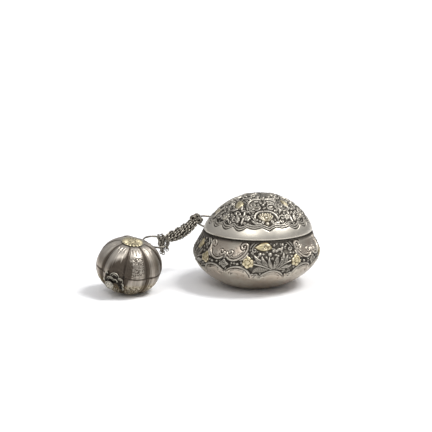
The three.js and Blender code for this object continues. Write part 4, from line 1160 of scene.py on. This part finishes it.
def make_chain():
    start, end = JOINTS["chain_lift"], JOINTS["lime_ring_lift"]
    way = unit(end - start)
    level = unit(np.cross(way, [0, 0, 1]))
    row = np.cross(level, way)
    inside_ring, meet = 1.1, CHAIN_STEPS // 2
    start, end = start + way * inside_ring, end - way * inside_ring
    share = np.linspace(0, 1, CHAIN_STEPS)
    middle_line = start + np.outer(share, end - start) - np.outer(CHAIN_SAG * np.sin(np.pi * share), row)
    spread = BUNDLE_RADIUS * np.minimum(1, np.minimum(0.25 + 6 * share, 0.25 + 6 * (1 - share)))
    lines = []
    for k in range(4):
        turn = np.radians(90 * k + CHAIN_TWIST * share)
        lines.append((middle_line + level * (spread * np.cos(turn))[:, None] * 0.7
                      + row * (spread * np.sin(turn))[:, None], THICK_LINK, 1.4, 45))
    for across, drop in ((-1.2, 3.9), (1.2, 4.3)):
        hang = drop * np.sin(np.pi * limit(share * 1.02)) ** 0.5
        lines.append((middle_line - row * hang[:, None] + level * across, THIN_LINK, 1.55, 20))

    box_half, lime_half = Rods(), Rods()
    # Dark core rods along the middle of the chain: painted shade inside the bundle of strands.
    box_half.add(middle_line[3:meet + 1], CHAIN_SHADE_CORE, row, sides=12, shade=1.0)
    lime_half.add(middle_line[meet:-3], CHAIN_SHADE_CORE, row, sides=12, shade=1.0)
    for line, link, pitch, turn in lines:
        strand(box_half, line[:meet + 1], link, pitch, turn)
        strand(lime_half, line[meet:], link, pitch, turn + 90)
    for x, y, z, sense in ((2.2, -1.4, 0.6, 1), (0.4, 0.2, 3.0, -1), (-2.2, -0.4, 2.0, 1)):
        coil(box_half, JOINTS["chain_lift"] + (x, y, z), sense)
    lime_half.link(end, way, row, 2.5, 2.4, 0.45)
    for x, y, z, drop, ahead, right in FRINGE:
        points = [end + (x, y, z) + (right * s * (1.5 - s), -ahead * s, -drop * s)
                  for s in np.linspace(0, 1, 5)]
        strand(lime_half, curve_through(points, 5), THIN_LINK, 1.45, 10 * x)
    for name, rods in (("box", box_half), ("lime", lime_half)):
        nodes = [f"{height}_strand_{name}_half" for height in ("upper", "middle", "lower")]
        dress(rods.finish(f"looped_chain_{name}_half"), f"chain_{name}_half", nodes + [f"{name}_gather_link"],
              chain_silver)


def make_ring(name, node, body, joint):
    """A wire ring hanging in its eye, a little thicker than the frame's own and no larger."""
    low, high = (np.array(corner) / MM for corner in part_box(node))
    centre = (low + high) / 2
    outward = unit(centre - JOINTS[joint])
    along = unit(AXES[joint] - outward * (AXES[joint] @ outward))
    turn = full_turn(96)
    reach = RING_RADIUS + 0.05 * np.sin(3 * turn + 1)
    rods = Rods()
    rods.add(centre + np.outer(reach * np.cos(turn), along) + np.outer(reach * np.sin(turn), outward),
             RING_WIRE * (1 + 0.04 * np.sin(7 * turn)), np.cross(along, outward), closed=True, sides=12,
             shade=0.25 + 0.25 * np.sin(5 * turn))
    dress(rods.finish(name), body, [node], wire_silver)


def make_collar(name, body, node, outer, low, high, place):
    """The plain ring that guides a lid, with rounded edges."""
    angles, soft = round_about(256), 0.15
    middle = outer - COLLAR_WALL / 2
    profile = [(middle, low), (outer - soft, low), (outer, low + soft), (outer, high - soft),
               (outer - soft, high), (middle, high)]
    profile += [(2 * middle - radius, height) for radius, height in profile[-2:0:-1]]
    points = np.vstack([ring_points(radius, height, angles) for radius, height in profile])
    piece = mesh_object(name, place(points), quads(len(profile), 256).reshape(-1, 4).tolist())
    dress(piece, body, [node], plain_silver)


# Floor, light and camera
def make_floor():
    half_side = 20 / MM
    corners = np.array([(-1, -1, 0), (1, -1, 0), (1, 1, 0), (-1, 1, 0)]) * half_side
    floor = mesh_object("floor", corners, [(0, 1, 2, 3)])
    shader = Shader("floor_white")
    shader.feed(shader.surface["Base Color"], shader.span(shader.noise(3.0), 0.0, 1.0, 0.94, 0.97))
    shader.surface["Roughness"].default_value = 0.9
    shader.surface["Specular IOR Level"].default_value = 0.0
    floor.data.materials.append(shader.material)


def make_light():
    world = bpy.data.worlds.new("studio")
    bpy.context.scene.world = world
    world.use_nodes = True
    tree = world.node_tree
    ramp = tree.nodes.new("ShaderNodeValToRGB")
    split = tree.nodes.new("ShaderNodeSeparateXYZ")
    tree.links.new(tree.nodes.new("ShaderNodeTexCoord").outputs["Generated"], split.inputs[0])
    tree.links.new(split.outputs["Z"], ramp.inputs["Fac"])
    below, above = ramp.color_ramp.elements
    below.color = (0.24, 0.24, 0.25, 1)
    above.position = 0.8
    above.color = (0.74, 0.74, 0.76, 1)
    tree.links.new(ramp.outputs["Color"], tree.nodes["Background"].inputs["Color"])
    sun = bpy.data.lights.new("sun", "SUN")
    sun.energy = 2.25
    sun.angle = math.radians(22)
    put("sun", sun).rotation_euler = Vector((0.6, -0.1, 1.0)).to_track_quat("Z", "Y").to_euler()
    panel = bpy.data.lights.new("soft_front", "AREA")
    panel.shape = "RECTANGLE"
    panel.size, panel.size_y = 0.4, 0.3
    panel.energy = 1.6
    lamp = put("soft_front", panel)
    lamp.location = (-0.25, -0.55, 0.75)
    lamp.rotation_euler = (Vector((-0.04, 0, 0.03)) - lamp.location).to_track_quat("-Z", "Y").to_euler()
    bpy.context.scene.view_settings.view_transform = "Standard"


def make_camera():
    elevation = math.radians(12)
    focal_pixels, image_pixels, distance = 1124.6, 432, 0.75
    toward = Vector((0, -math.cos(elevation), math.sin(elevation)))
    data = bpy.data.cameras.new("camera")
    data.sensor_width = 36
    data.lens = 36 * focal_pixels / image_pixels
    data.clip_end = 50
    camera = put("camera", data)
    camera.location = Vector((-0.0257, 0, 0.0461)) + toward * distance
    camera.rotation_euler = (-toward).to_track_quat("-Z", "Y").to_euler()
    bpy.context.scene.camera = camera


def finish_frame_nodes():
    """Materials for the frame's own pieces that stay."""
    for name, node in frame["nodes"].items():
        node.data.materials.clear()
        node.data.materials.append(wire_silver if "pin" in name else plain_silver)


make_camera()
make_light()
make_floor()
finish_frame_nodes()
make_lid()
make_bowl()
make_melon_half("upper", 1)
make_melon_half("lower", -1)
make_rosette()
make_knob()
make_spray()
make_chain()
make_collar("bowl_guide", "bowl", "bowl_collar", RIM_RADIUS - RIM_SEAT_WIDTH - SEAT_GAP, RIM_HEIGHT - 3.6,
            RIM_HEIGHT + 2.9, lean)
make_collar("lime_box_guide", "lime_lower", "lime_box_collar", MELON_COLLAR_RADIUS, -2.2, 2.2, place_melon)
make_ring("carrying_ring", "box_ring", "box_ring", "box_ring_swing")
make_ring("lime_carrying_ring", "lime_box_ring", "lime_ring", "lime_box_swing")
